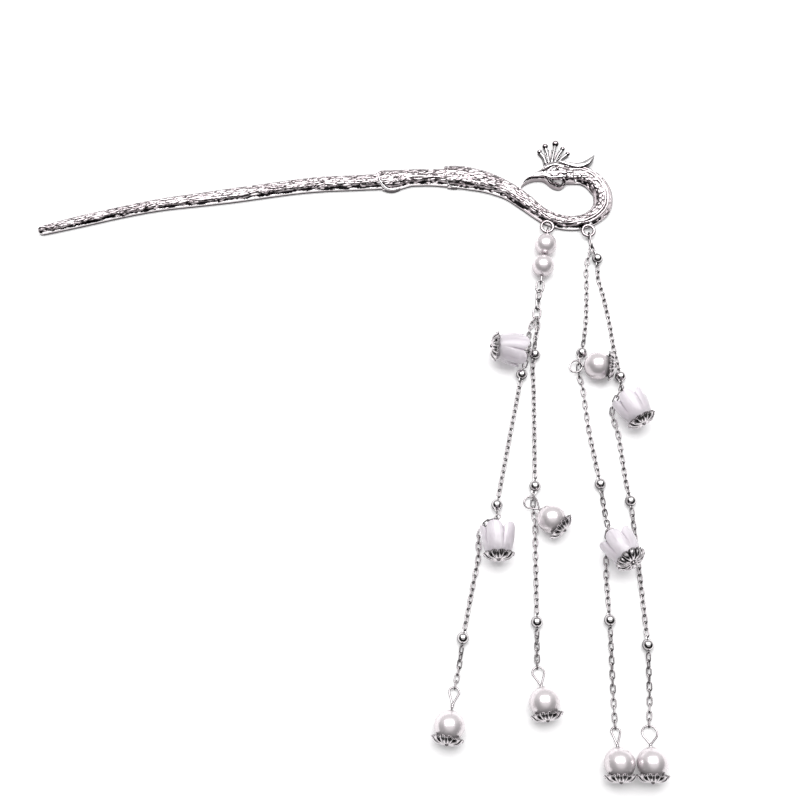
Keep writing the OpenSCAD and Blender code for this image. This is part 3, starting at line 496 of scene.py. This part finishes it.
def head_plate():
    """The phoenix's head, a grid between its lower and upper edge. Over the share w of the way between
    them the surface domes by (1 - |2w - 1|^3)^0.5, lower over the wattle. Ridges add a half ellipse,
    cuts sink steeply, and feathers come in towards the neck, where the plate dives under the bar. The
    cuts' dark fill is patina and painted shade, both edges carry painted shade lines, the walls are
    painted dark as shade, and the open places between the cuts carry a painted highlight."""
    rows = curve(HEAD, HEAD_STEP)[1]
    even = np.linspace(0, 1, HEAD_CROSS)
    w = mix(even, 0.5 - 0.5 * np.cos(np.linspace(0, math.pi, HEAD_CROSS)), 0.5)[None]
    x, y = mix(rows[:, 0:1], rows[:, 2:3], w), mix(rows[:, 1:2], rows[:, 3:4], w)
    wattle = step(79.4, 77.6, y) * step(61.6, 63.2, x) * step(68.9, 68.2, x)
    top = rows[:, 4:5] - 0.50 * wattle
    z = HEAD_WALL + (top - HEAD_WALL) * np.sqrt(np.clip(1 - np.abs(2 * w - 1) ** 3, 0, 1))
    for line in HEAD_RIDGES.values():
        z = z + RIDGE_RISE * np.sqrt(np.clip(1 - off_line(x, y, line) ** 2, 0, 1))
    down, crease = feathers(-x, y, 41)
    share = step(66.4, 68.2, x) * step(0.0, 0.15, w) * step(1.0, 0.85, w)
    z, patina_and_painted_light = z + down * share, 0.5 * crease * share
    for line in HEAD_CUTS.values():
        cut = step(1.25, 0.45, off_line(x, y, line))
        z, patina_and_painted_light = z - HEAD_CUT_DEPTH * cut, np.maximum(patina_and_painted_light, cut)
    z = mix(z, 2.2, step(70.3, 71.3, x))
    width = rows[:, 3:4] - rows[:, 1:2]
    outline = 0.85 * step(0.34, 0.14, (1 - w) * width) + 0.55 * step(0.22, 0.08, w * width)
    patina_and_painted_light = np.maximum(patina_and_painted_light, outline)
    upper = np.dstack([x, y, np.maximum(z, 1.0), np.where(patina_and_painted_light < 0.1, -0.6, patina_and_painted_light)])
    # The wall down from the upper edge and up to the lower: the edge's first column, height, painted shade
    under = []
    for side, low, dark in ((2, 0.8, 0.6), (2, 0.0, 0.8), (0, 0.0, 0.8), (0, 0.7, 0.6)):
        depth = np.broadcast_to([low, dark], (len(rows), 2))
        under.append(np.hstack([rows[:, side:side + 2], depth]))
    return shell(np.concatenate([upper, np.stack(under, axis=1)], axis=1))


def crest_web(c):
    """The thin web between the stalks. At the share f of the way from one stalk to the next, its upper
    edge lies at 0.68 - 0.1 sin(pi f) of the stalks' length, so that it dips between them."""
    t = np.linspace(0, len(c) - 1, WEB_CUTS)
    i = np.minimum(t.astype(int), len(c) - 2)
    f = (t - i)[:, None]
    root = mix(c[i, :2], c[i + 1, :2], f)
    tip = mix(root, mix(c[i, 2:4], c[i + 1, 2:4], f), 0.68 - 0.1 * np.sin(math.pi * f))
    foot = root + [0, -0.4]
    # The web is darkened a quarter of the way to the dark colour, painted shade between the stalks.
    dark = np.full((WEB_CUTS, 1), 0.25)
    corners = ((foot, 0.15), (tip, 0.15), (tip, 1.1), (foot, 1.1))
    sides = [np.hstack([end, np.full((WEB_CUTS, 1), z), dark]) for end, z in corners]
    return shell(np.stack(sides, axis=1))


def crest_parts():
    """The fan crest: bent stalks that end in balls, thinner strands between them, and a thin web."""
    c = np.array(CREST)
    made = []
    for n, (x0, y0, x1, y1, r) in enumerate(c):
        bow = -0.2 * (n - 2)
        middle = [(x0 + x1) / 2 + bow, (y0 + y1) / 2, 0.44, 1.95]
        stalk = [[x0, y0, 0.52, 2.1], middle, [x1, y1, 0.42, 1.8]]
        made.append(cast_ridge(stalk, low=1.0, crown=0.18, start=0.5, highlight_and_wear=0.9))
        made.append(ball([x1, y1, 1.45], r * BALL_SWELL, dark=0.95))
    for first, second in zip(c[:-1], c[1:]):
        x0, y0, x1, y1 = (first[:4] + second[:4]) / 2
        for lean in (-0.28, 0.28):
            far = [mix(x0, x1, 0.7) + 1.6 * lean, mix(y0, y1, 0.7)]
            strand = [[x0 + lean * 0.6, y0, 0.2, 1.8], [*far, 0.16, 1.7]]
            made.append(cast_ridge(strand, low=1.0, crown=0.18, highlight_and_wear=1.0))
    return made + [crest_web(c)]


# Cast eyelets: centre x and y, and half the length of the foot that joins each to the hook
EYELETS = ((62.0, 63.4, 0.6), (74.2, 62.1, 0.9))
# The ring: its radius, the height of its middle, its wire's radius and the points round it
EYELET_R = 1.75
EYELET_Z = 1.75
EYELET_WIRE = 0.5
EYELET_CUTS = 48
# The foot: how far its line lies past the ring's centre, its half width and its top
FOOT_REACH = 2.35
FOOT_HALF = 0.6
FOOT_TOP = 2.15


def eyelet(x, y, foot):
    """A flat ring of round wire, its path a circle, and the low foot between it and the hook."""
    t = np.linspace(0, 2 * math.pi, EYELET_CUTS, endpoint=False)
    ring = np.stack([x + EYELET_R * np.cos(t), y + EYELET_R * np.sin(t), np.full_like(t, EYELET_Z)], axis=1)
    line = [[end, y + FOOT_REACH, FOOT_HALF, FOOT_TOP] for end in (x - foot, x + foot)]
    return [tube(ring, EYELET_WIRE, sides=16, loop=True, dark=0.8), cast_ridge(line, low=1.5)]


def casting():
    """Every skin of the one casting."""
    made = [
        cast_bar(STICK, stick_relief, seed=3),
        cast_bar(GRIP, grip_relief, seed=5),
        cast_bar(HOOK, hook_relief, seed=9),
        cast_ridge(FIRST_COLLAR, low=1.0, crown=0.3, highlight_and_wear=1.0),
        cast_ridge(SECOND_COLLAR, low=1.0, crown=0.3, highlight_and_wear=1.0),
        head_plate(),
        cast_ridge(HORN, low=2.3, crown=0.12, start=0.64, highlight_and_wear=1.0),
        ball(EYE, EYE_R, dark=0.9)]
    made += crest_parts()
    for place in EYELETS:
        made += eyelet(*place)
    return made


# Pearls, bellflowers, flower caps and head pins

# Drops: bead centre x, y, z, azimuth of the loop's side, tilt down towards the loop, then in the drop's
# own frame the loop's centre, the neck, the loop's radius and its turn about the pin
DROPS = {
    "a": (30.7, -79.9, 4.0, 80.2, 17.5, 9.15, 5.6, 1.3, 0),
    "b": (55.4, -74.0, 4.0, 97.5, 18.8, 8.15, 4.4, 1.55, 0),
    "c": (73.9, -89.0, 4.0, 90.0, 19.4, 8.28, 4.45, 1.15, 0),
    "d": (82.2, -89.0, 4.0, 87.0, 18.7, 7.85, 4.8, 1.95, 0),
    "side_b": (59.3, -25.8, 4.0, 135.5, 19.0, 7.85, 4.5, 1.8, 0),
    "side_c": (74.3, 18.5, 4.0, 175.2, 20.0, 6.33, 4.4, 1.8, 0),
    "bell_1": (48.5, 23.15, 6.12, -4.0, 20.0, 5.7, 2.5, 1.1, 90),
    "bell_2": (44.4, -32.64, 5.6, 90.0, 12.0, 6.1, 2.9, 1.1, 90),
    "bell_3": (83.78, 4.77, 5.82, 115.0, 15.0, 6.9, 2.6, 0.9, 90),
    "bell_4": (77.74, -35.15, 7.75, 115.0, 30.0, 7.2, 4.3, 1.3, 0)}
# The cap and the pin's ball are turned down by the drop's tilt less this many degrees, except on the
# one drop where they are straight
CAP_LAG = 7
STRAIGHT_DROP = "bell_4"
# The pearl: its radius, the sides round it, the points along its arc, and its bore's radius
PEARL_R = 4.0
PEARL_SIDES = 72
PEARL_ARC = 49
BORE_R = 0.45
# Radius of the bore's mouth as a share of the bore's, and depth of the lip inside it
MOUTH_SHARE = 1.25
LIP_DEPTH = 0.14
PIN_R = 0.25
# The ball at the pin's end, how far its centre lies outside the bead, how deep in the bead the wire
# bends towards it, and the distance between the two wraps at the neck
PIN_BALL_R = 0.5
PIN_REACH = 0.62
PIN_BEND = 0.3
WRAP_STEP = 0.5
# Points along the loop's arc and along each of its straight sides
LOOP_CUTS = 40
SIDE_CUTS = 8


def in_place(drop):
    """A function that sets points of a drop's own frame in the scene: X points to its loop.
    They are turned about Y by the tilt, then about Z by the azimuth, and moved to the bead's centre."""
    x, y, z, azimuth, tilt = drop[:5]
    a, t = math.radians(azimuth), math.radians(tilt)
    about_y = np.array([[math.cos(t), 0, math.sin(t)], [0, 1, 0], [-math.sin(t), 0, math.cos(t)]])
    about_z = np.array([[math.cos(a), -math.sin(a), 0], [math.sin(a), math.cos(a), 0], [0, 0, 1]])
    turn = about_z @ about_y
    return lambda points: points @ turn.T + [x, y, z]


def pearl(radius):
    """A drilled bead: an arc from one mouth of the bore to the other, a small lip at each, and the
    bore's straight wall, turned about X."""
    lip = math.asin(BORE_R * MOUTH_SHARE / radius)
    a = np.linspace(lip, math.pi - lip, PEARL_ARC)
    arc = np.stack([radius * np.sin(a), radius * np.cos(a)], axis=1)
    inner = radius * math.cos(lip) - LIP_DEPTH
    wall = np.array([[BORE_R, -inner], [BORE_R, 0], [BORE_R, inner]])
    return turned(np.vstack([arc, wall]), PEARL_SIDES)


# Bellflower: radius, height from its base, petal depth, from the base's bore out and back inside
BELL = [
    [0.46, 0.00, 0.00], [1.90, 0.20, 0.00], [2.95, 0.85, 0.01], [3.70, 2.05, 0.03], [4.20, 3.60, 0.06],
    [4.60, 5.20, 0.11], [4.82, 6.80, 0.17], [4.90, 8.00, 0.22], [4.72, 8.20, 0.22], [4.38, 6.90, 0.17],
    [3.95, 5.15, 0.10], [3.00, 3.40, 0.05], [1.60, 2.39, 0.01], [0.46, 2.02, 0.00]]
# Step along the profile, sides and petals round it, and the height that lies at the drop's centre
BELL_STEP = 0.16
BELL_SIDES = 200
BELL_PETALS = 5
BELL_MIDDLE = 4.0


def off_petal(petals, w):
    """How far the angle w is from the middle of its petal: 0 there, 1 on the border of two petals."""
    return np.abs(((petals * w / (2 * math.pi) + 0.5) % 1) - 0.5) * 2


def bellflower():
    """A five-petalled glass flower. A profile is turned about X, and at the angle w, with p the share
    of the way from a petal's middle to its edge, the radius shrinks by depth times p^3.5, which leaves
    sharp valleys. The mouth stands out in the middle of each petal and is cut back between petals by
    p^2.2. Painted shade darkens the valleys and, more faintly, the petals' middles."""
    rows = curve(np.array(BELL)[:, [1, 0, 2]], BELL_STEP)[1]
    u, radius, depth = rows[:, 0], rows[:, 1], rows[:, 2]
    w = np.linspace(0, 2 * math.pi, BELL_SIDES, endpoint=False)[:, None]
    p = off_petal(BELL_PETALS, w)
    r = radius * (1 - depth * p ** 3.5)
    lift = step(4.4, 8.2, u) * (0.5 - 1.5 * p ** 2.2)
    fold_shade = (0.9 * step(0.84, 1.0, p) + 0.35 * step(0.12, 0.0, p)) * step(1.5, 5.0, u)
    return shell(np.stack([u + lift - BELL_MIDDLE, r * np.cos(w), r * np.sin(w), fold_shade], axis=-1), loop=True)


# Flower cap: petals, sides to a petal, steps out over the top and back under it, and the angles from
# the pin at which it begins and at which its petals' valleys end
CAP_PETALS = 11
PETAL_SIDES = 18
TOP_STEPS = 18
UNDER_STEPS = 9
CAP_FROM = 9.0
CAP_REACH = 49


def flower_cap(droop):
    """A flower cap: one thin dished shell with scalloped petals, seen in the angle q from the pin and
    the angle w round it. The rim lies at q = CAP_REACH + 5 |cos(petals w / 2)|^0.5 degrees and is
    beaded, each petal is a low pillow, and deep cuts run between the petals. The cap lies closest to the
    bead at the pin, and a quarter wave of a sine carries it off towards the rim. It is turned down by
    `droop` about the bead's centre."""
    w = np.linspace(0, 2 * math.pi, CAP_PETALS * PETAL_SIDES, endpoint=False)[:, None]
    share = np.concatenate([np.linspace(0, 1, TOP_STEPS), np.linspace(1, 0, UNDER_STEPS)])[None]
    outer = np.concatenate([np.ones(TOP_STEPS), np.zeros(UNDER_STEPS)])[None]
    p = off_petal(CAP_PETALS, w)
    beads = np.abs(np.sin(CAP_PETALS * w * 2.5))
    end = CAP_REACH + 5 * np.abs(np.cos(p * math.pi / 2)) ** 0.5 + 1.2 * beads * (1 - p)
    q = np.radians(CAP_FROM + (end - CAP_FROM) * share)
    petal = (1 - p ** 2) * np.sin(np.clip(share * 1.1, 0, 1) * math.pi)
    collar = np.exp(-((share - 0.08) / 0.1) ** 2)
    edge = step(0.82, 0.97, share)
    clear = 0.13 + 0.88 * np.sin(np.minimum(share * 1.25, 1) * math.pi / 2) * (share > 0.05)
    lift = clear + outer * (0.2 + 0.3 * petal + 0.25 * collar + 0.22 * edge * beads)
    slit = step(0.55, 0.82, p) * step(0.15, 0.35, share)
    inner = step(0.35, 0.1, p) * step(0.3, 0.45, share) * step(0.78, 0.62, share)
    # Painted shade in the slits between the petals, over the petals' middles, between the beads at the rim,
    # and all over the underside.
    painted_cap_shade = np.clip(slit * (1 - edge) + 0.7 * inner + edge * step(0.5, 0.2, beads), 0, 1)
    patina_and_painted_light = np.where(outer > 0, painted_cap_shade, 1.0)
    radius = PEARL_R + lift - outer * 0.2 * slit * (1 - edge)
    x, around = -radius * np.cos(q), radius * np.sin(q)
    y, z = around * np.cos(w), around * np.sin(w)
    cos, sin = math.cos(math.radians(droop)), math.sin(math.radians(droop))
    return shell(np.stack([x * cos - z * sin, y, x * sin + z * cos, patina_and_painted_light], axis=-1), loop=True)


def neck_wrap(x):
    """One turn of wire round the pin's neck: a low barrel, as a profile turned about X."""
    profile = [[0.4, -0.26], [1.5, -0.2], [1.6, 0], [1.5, 0.2], [0.4, 0.26]]
    return turned([[PIN_R * share, x + shift] for share, shift in profile], 20)


def head_pin(droop, loop_at, neck_at, loop_r, turn):
    """A head pin in the drop's own frame: a ball outside the cap, a wire through the bead that bends
    down to the ball where the cap is turned down, two wraps at the neck and a teardrop loop, which is
    an arc about its centre and two straight sides to the neck."""
    spread = math.asin(loop_r / (loop_at - neck_at))
    a = np.linspace(-math.pi / 2 - spread, math.pi / 2 + spread, LOOP_CUTS)
    arc = np.stack([loop_at + loop_r * np.cos(a), loop_r * np.sin(a), np.zeros(LOOP_CUTS)], axis=1)
    t = np.linspace(0, 1, SIDE_CUTS)[1:-1, None]
    neck = np.array([[neck_at, 0, 0]])
    there, back = mix(neck, arc[:1], t), mix(arc[-1:], neck, t)
    k = math.radians(turn)
    about_x = np.array([[1, 0, 0], [0, math.cos(k), -math.sin(k)], [0, math.sin(k), math.cos(k)]])
    teardrop = np.vstack([neck, there, arc, back]) @ about_x.T
    d = math.radians(droop)
    out = PEARL_R + PIN_REACH
    head = [-out * math.cos(d), 0, -out * math.sin(d)]
    bend = [[PIN_BEND - PEARL_R, 0, 0]] if droop else []
    wire = [head, *bend, [0, 0, 0], [neck_at, 0, 0]]
    return [tube(teardrop, PIN_R), tube(wire, PIN_R), ball(head, PIN_BALL_R),
            neck_wrap(neck_at - WRAP_STEP), neck_wrap(neck_at)]


# Finishes

# Lowest and highest roughness
SATIN = (0.16, 0.30)
POLISHED = (0.04, 0.10)
# Colours of painted highlight and wear on silver, of painted shade on its sides, and of the dark patina in
# its creases, which also serves as painted shade in cuts, at edges and on walls
HIGHLIGHT_AND_WEAR = (0.93, 0.91, 0.92)
DARK_SIDE_SHADE = (0.05, 0.045, 0.048)
PATINA_AND_SHADE = (0.010, 0.009, 0.010)


def finish(name, metallic, rough, tone, spread, patina_and_painted_light=None, side=None, scale=300.0, **sockets):
    """A finish whose colour and roughness drift with fine noise in the object's own space, the colour
    by `spread` each way. Where the surface faces sideways or down, the colour goes over to the side's,
    between two heights of its normal, as painted shade. Where the point's mark is positive, it goes over
    to the given dark colour, patina and painted shade, and where negative, to the light one, a painted
    highlight with some wear."""
    m = bpy.data.materials.new(name)
    m.use_nodes = True
    t = m.node_tree
    bsdf = t.nodes["Principled BSDF"]
    bsdf.inputs["Metallic"].default_value = metallic
    for socket, value in sockets.items():
        bsdf.inputs[socket.replace("_", " ")].default_value = value
    where = t.nodes.new("ShaderNodeTexCoord")
    noise = t.nodes.new("ShaderNodeTexNoise")
    noise.inputs["Scale"].default_value = scale
    noise.inputs["Detail"].default_value = 3
    t.links.new(where.outputs["Object"], noise.inputs["Vector"])
    ramp = t.nodes.new("ShaderNodeValToRGB")
    ramp.color_ramp.elements[0].position, ramp.color_ramp.elements[1].position = 0.3, 0.7
    ramp.color_ramp.elements[0].color = (*[c - spread for c in tone], 1)
    ramp.color_ramp.elements[1].color = (*[min(c + spread, 1) for c in tone], 1)
    t.links.new(noise.outputs["Fac"], ramp.inputs["Fac"])

    def over(under, colour, share):
        node = t.nodes.new("ShaderNodeMix")
        node.data_type = "RGBA"
        node.inputs["B"].default_value = (*colour, 1)
        t.links.new(share, node.inputs["Factor"])
        t.links.new(under, node.inputs["A"])
        return node.outputs["Result"]

    def span(source, *values):
        node = t.nodes.new("ShaderNodeMapRange")
        for socket, value in zip(("From Min", "From Max", "To Min", "To Max"), values):
            node.inputs[socket].default_value = value
        t.links.new(source, node.inputs["Value"])
        return node.outputs["Result"]

    colour = ramp.outputs["Color"]
    if side:
        (low, high), painted_side_shade = side
        facing = t.nodes.new("ShaderNodeNewGeometry")
        axes = t.nodes.new("ShaderNodeSeparateXYZ")
        t.links.new(facing.outputs["Normal"], axes.inputs[0])
        colour = over(colour, painted_side_shade, span(axes.outputs["Z"], low, high, 1.0, 0.0))
    if patina_and_painted_light:
        depth = t.nodes.new("ShaderNodeAttribute")
        depth.attribute_name = "patina_and_painted_light"
        colour = over(colour, patina_and_painted_light, span(depth.outputs["Fac"], 0.0, 1.0, 0.0, 1.0))
        colour = over(colour, HIGHLIGHT_AND_WEAR, span(depth.outputs["Fac"], 0.0, -1.0, 0.0, 1.0))
    t.links.new(colour, bsdf.inputs["Base Color"])
    t.links.new(span(noise.outputs["Fac"], 0.0, 1.0, *rough), bsdf.inputs["Roughness"])
    return m


# On every finish the side colour is painted shade where the surface faces sideways or down; the dark colours
# are painted shade in cuts, slits, folds, at edges and on walls, with patina in the casting's creases.
cast_silver = finish("cast_silver", 1.0, SATIN, (0.57, 0.51, 0.53), 0.14, patina_and_painted_light=PATINA_AND_SHADE)
wire_silver = finish("wire_silver", 1.0, SATIN, (0.52, 0.48, 0.495), 0.08, side=((0.34, 0.88), DARK_SIDE_SHADE))
link_silver = finish("link_silver", 1.0, SATIN, (0.42, 0.39, 0.40), 0.10,
                     side=((0.40, 0.92), (0.04, 0.036, 0.038)))
mirror_silver = finish("mirror_silver", 1.0, POLISHED, (0.84, 0.81, 0.82), 0.02,
                       side=((0.30, 0.62), DARK_SIDE_SHADE))
cap_metal = finish("cap_metal", 1.0, (0.18, 0.32), (0.74, 0.70, 0.72), 0.08, patina_and_painted_light=(0.012, 0.011, 0.012))
pearl_coat = finish("pearl_coat", 0.55, (0.20, 0.30), (0.86, 0.80, 0.825), 0.015,
                    side=((-0.05, 0.5), (0.42, 0.37, 0.39)), scale=160.0,
                    Coat_Weight=0.35, Coat_Roughness=0.06, Coat_IOR=1.6)
glass = finish("frosted_glass", 0.0, (0.25, 0.38), (0.95, 0.90, 0.95), 0.012, patina_and_painted_light=(0.60, 0.53, 0.60),
               side=((-0.1, 0.5), (0.88, 0.82, 0.88)), scale=220.0,
               Transmission_Weight=0.45, IOR=1.42, Coat_Weight=0.6, Coat_Roughness=0.06)


# Pieces

def piece(name, skins, material, slot, *nodes, sharp=38):
    """One object from several skins, with its place in its mesh, that stands for CAD nodes. Edges
    bent by more than `sharp` degrees stay sharp."""
    first = np.cumsum([0] + [len(v) for v, _ in skins])
    points = np.vstack([v for v, _ in skins])
    faces = np.vstack([tri + start for (_, tri), start in zip(skins, first)])
    mesh = bpy.data.meshes.new(name)
    mesh.vertices.add(len(points))
    mesh.vertices.foreach_set("co", (points[:, :3] * MM).ravel())
    mesh.loops.add(faces.size)
    mesh.loops.foreach_set("vertex_index", faces.ravel())
    mesh.polygons.add(len(faces))
    mesh.polygons.foreach_set("loop_start", np.arange(0, faces.size, 3))
    mesh.update(calc_edges=True)
    mesh.attributes.new("patina_and_painted_light", "FLOAT", "POINT").data.foreach_set("value", points[:, 3])
    mesh.shade_smooth()
    mesh.set_sharp_from_angle(angle=math.radians(sharp))
    mesh.materials.append(material)
    obj = bpy.data.objects.new(name, mesh)
    bpy.context.scene.collection.objects.link(obj)
    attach(obj, "root")
    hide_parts(*nodes)


def hang_drop(name, drop):
    """One drop: its pearl or bellflower, its flower cap and its head pin."""
    place = in_place(drop)
    if name.startswith("bell"):
        piece(f"{name}_petals", [moved(bellflower(), place)], glass, "frosted_glass", name, sharp=50)
    else:
        piece(f"pearl_{name}_bead", [moved(pearl(PEARL_R), place)], pearl_coat, "pearl", f"pearl_{name}")
    droop = 0 if name == STRAIGHT_DROP else drop[4] - CAP_LAG
    cap = moved(flower_cap(droop), place)
    pin = [moved(skin, place) for skin in head_pin(droop, *drop[5:])]
    piece(f"cap_{name}_petals", [cap], cap_metal, "cap_silver", f"cap_{name}", sharp=60)
    piece(f"pin_{name}_wire", pin, wire_silver, "pin_wire", f"pin_{name}", sharp=60)


def dress_cad_nodes():
    """The CAD nodes that stay get their slot's finish: chains, rings, links, balls and small pearls."""
    finishes = {"cast_silver": cast_silver, "chain_silver": link_silver, "polished_ball": mirror_silver,
                "cap_silver": cap_metal, "pin_wire": wire_silver, "pearl": pearl_coat, "frosted_glass": glass}
    for part in frame["record"]["subparts"]:
        node = frame["nodes"].get(part["node"])
        if node is None:
            continue
        for holder in node.material_slots:
            holder.link = "OBJECT"
            holder.material = finishes[part["material_slot"]]


piece("phoenix_casting", casting(), cast_silver, "cast_silver", "hairpin")
for name, drop in DROPS.items():
    hang_drop(name, drop)
dress_cad_nodes()


# Stage

# Half the floor's side, in metres
FLOOR_HALF = 3.0
# The softbox: its sides and where it hangs, in metres, how far it leans in degrees, and its watts
SOFTBOX = (0.80, 0.46)
SOFTBOX_AT = (0.02, 0.20, 0.60)
SOFTBOX_LEAN = -17
SOFTBOX_WATTS = 5.0
# The camera: the point it looks at and its distance, in metres, its elevation in degrees, and its
# lens and frame in millimetres
AIM = (0.018, 0.0095, 0.0)
DISTANCE = 0.317
ELEVATION = 72
LENS = 50
FRAME_WIDTH = 36


def set_floor():
    """A sheet of white paper with a faint glow of its own, so that it comes out white."""
    s = FLOOR_HALF
    mesh = bpy.data.meshes.new("floor")
    mesh.from_pydata([(-s, -s, 0), (s, -s, 0), (s, s, 0), (-s, s, 0)], [], [(0, 1, 2, 3)])
    mesh.materials.append(finish("white_paper", 0.0, (0.55, 0.65), (0.93, 0.925, 0.93), 0.004, scale=40.0,
                                 Emission_Color=(1.0, 0.99, 1.0, 1.0), Emission_Strength=0.22))
    floor = bpy.data.objects.new("floor", mesh)
    bpy.context.scene.collection.objects.link(floor)


def set_room():
    """A soft sky: bright overhead and behind the table, pale below the skyline, and dark in front."""
    world = bpy.data.worlds.new("soft_room")
    bpy.context.scene.world = world
    world.use_nodes = True
    t = world.node_tree
    back = t.nodes["Background"]
    where = t.nodes.new("ShaderNodeTexCoord")
    axes = t.nodes.new("ShaderNodeSeparateXYZ")
    t.links.new(where.outputs["Generated"], axes.inputs[0])

    def band(source, *values):
        node = t.nodes.new("ShaderNodeMapRange")
        node.interpolation_type = "SMOOTHSTEP"
        for socket, value in zip(("From Min", "From Max", "To Min", "To Max"), values):
            node.inputs[socket].default_value = value
        t.links.new(source, node.inputs["Value"])
        return node.outputs["Result"]

    def larger(a, b):
        node = t.nodes.new("ShaderNodeMath")
        node.operation = "MAXIMUM"
        t.links.new(a, node.inputs[0])
        t.links.new(b, node.inputs[1])
        return node.outputs["Value"]

    overhead = band(axes.outputs["Z"], 0.66, 0.90, 0.0, 0.60)
    skyline = band(axes.outputs["Z"], 0.09, 0.13, 0.35, 0.0)
    wall = band(axes.outputs["Y"], -0.15, 0.65, 0.01, 0.42)
    t.links.new(larger(larger(overhead, skyline), wall), back.inputs["Color"])
    back.inputs["Strength"].default_value = 1.0


def set_softbox():
    """One wide softbox, high over the back of the table and leaning towards the front."""
    light = bpy.data.lights.new("softbox", "AREA")
    light.shape = "RECTANGLE"
    light.size, light.size_y = SOFTBOX
    light.energy = SOFTBOX_WATTS
    box = bpy.data.objects.new("softbox", light)
    box.location = SOFTBOX_AT
    box.rotation_euler = (math.radians(SOFTBOX_LEAN), 0, 0)
    bpy.context.scene.collection.objects.link(box)


def set_camera():
    """The camera looks along +Y and down at its aim, from its distance and elevation."""
    rise = math.radians(ELEVATION)
    data = bpy.data.cameras.new("camera")
    data.lens = LENS
    data.sensor_width = FRAME_WIDTH
    data.clip_start, data.clip_end = 0.01, 20
    camera = bpy.data.objects.new("camera", data)
    camera.location = np.array(AIM) + DISTANCE * np.array([0, -math.cos(rise), math.sin(rise)])
    camera.rotation_euler = (math.pi / 2 - rise, 0, 0)
    bpy.context.scene.collection.objects.link(camera)
    bpy.context.scene.camera = camera


set_floor()
set_room()
set_softbox()
set_camera()
bpy.context.scene.view_settings.view_transform = "Standard"
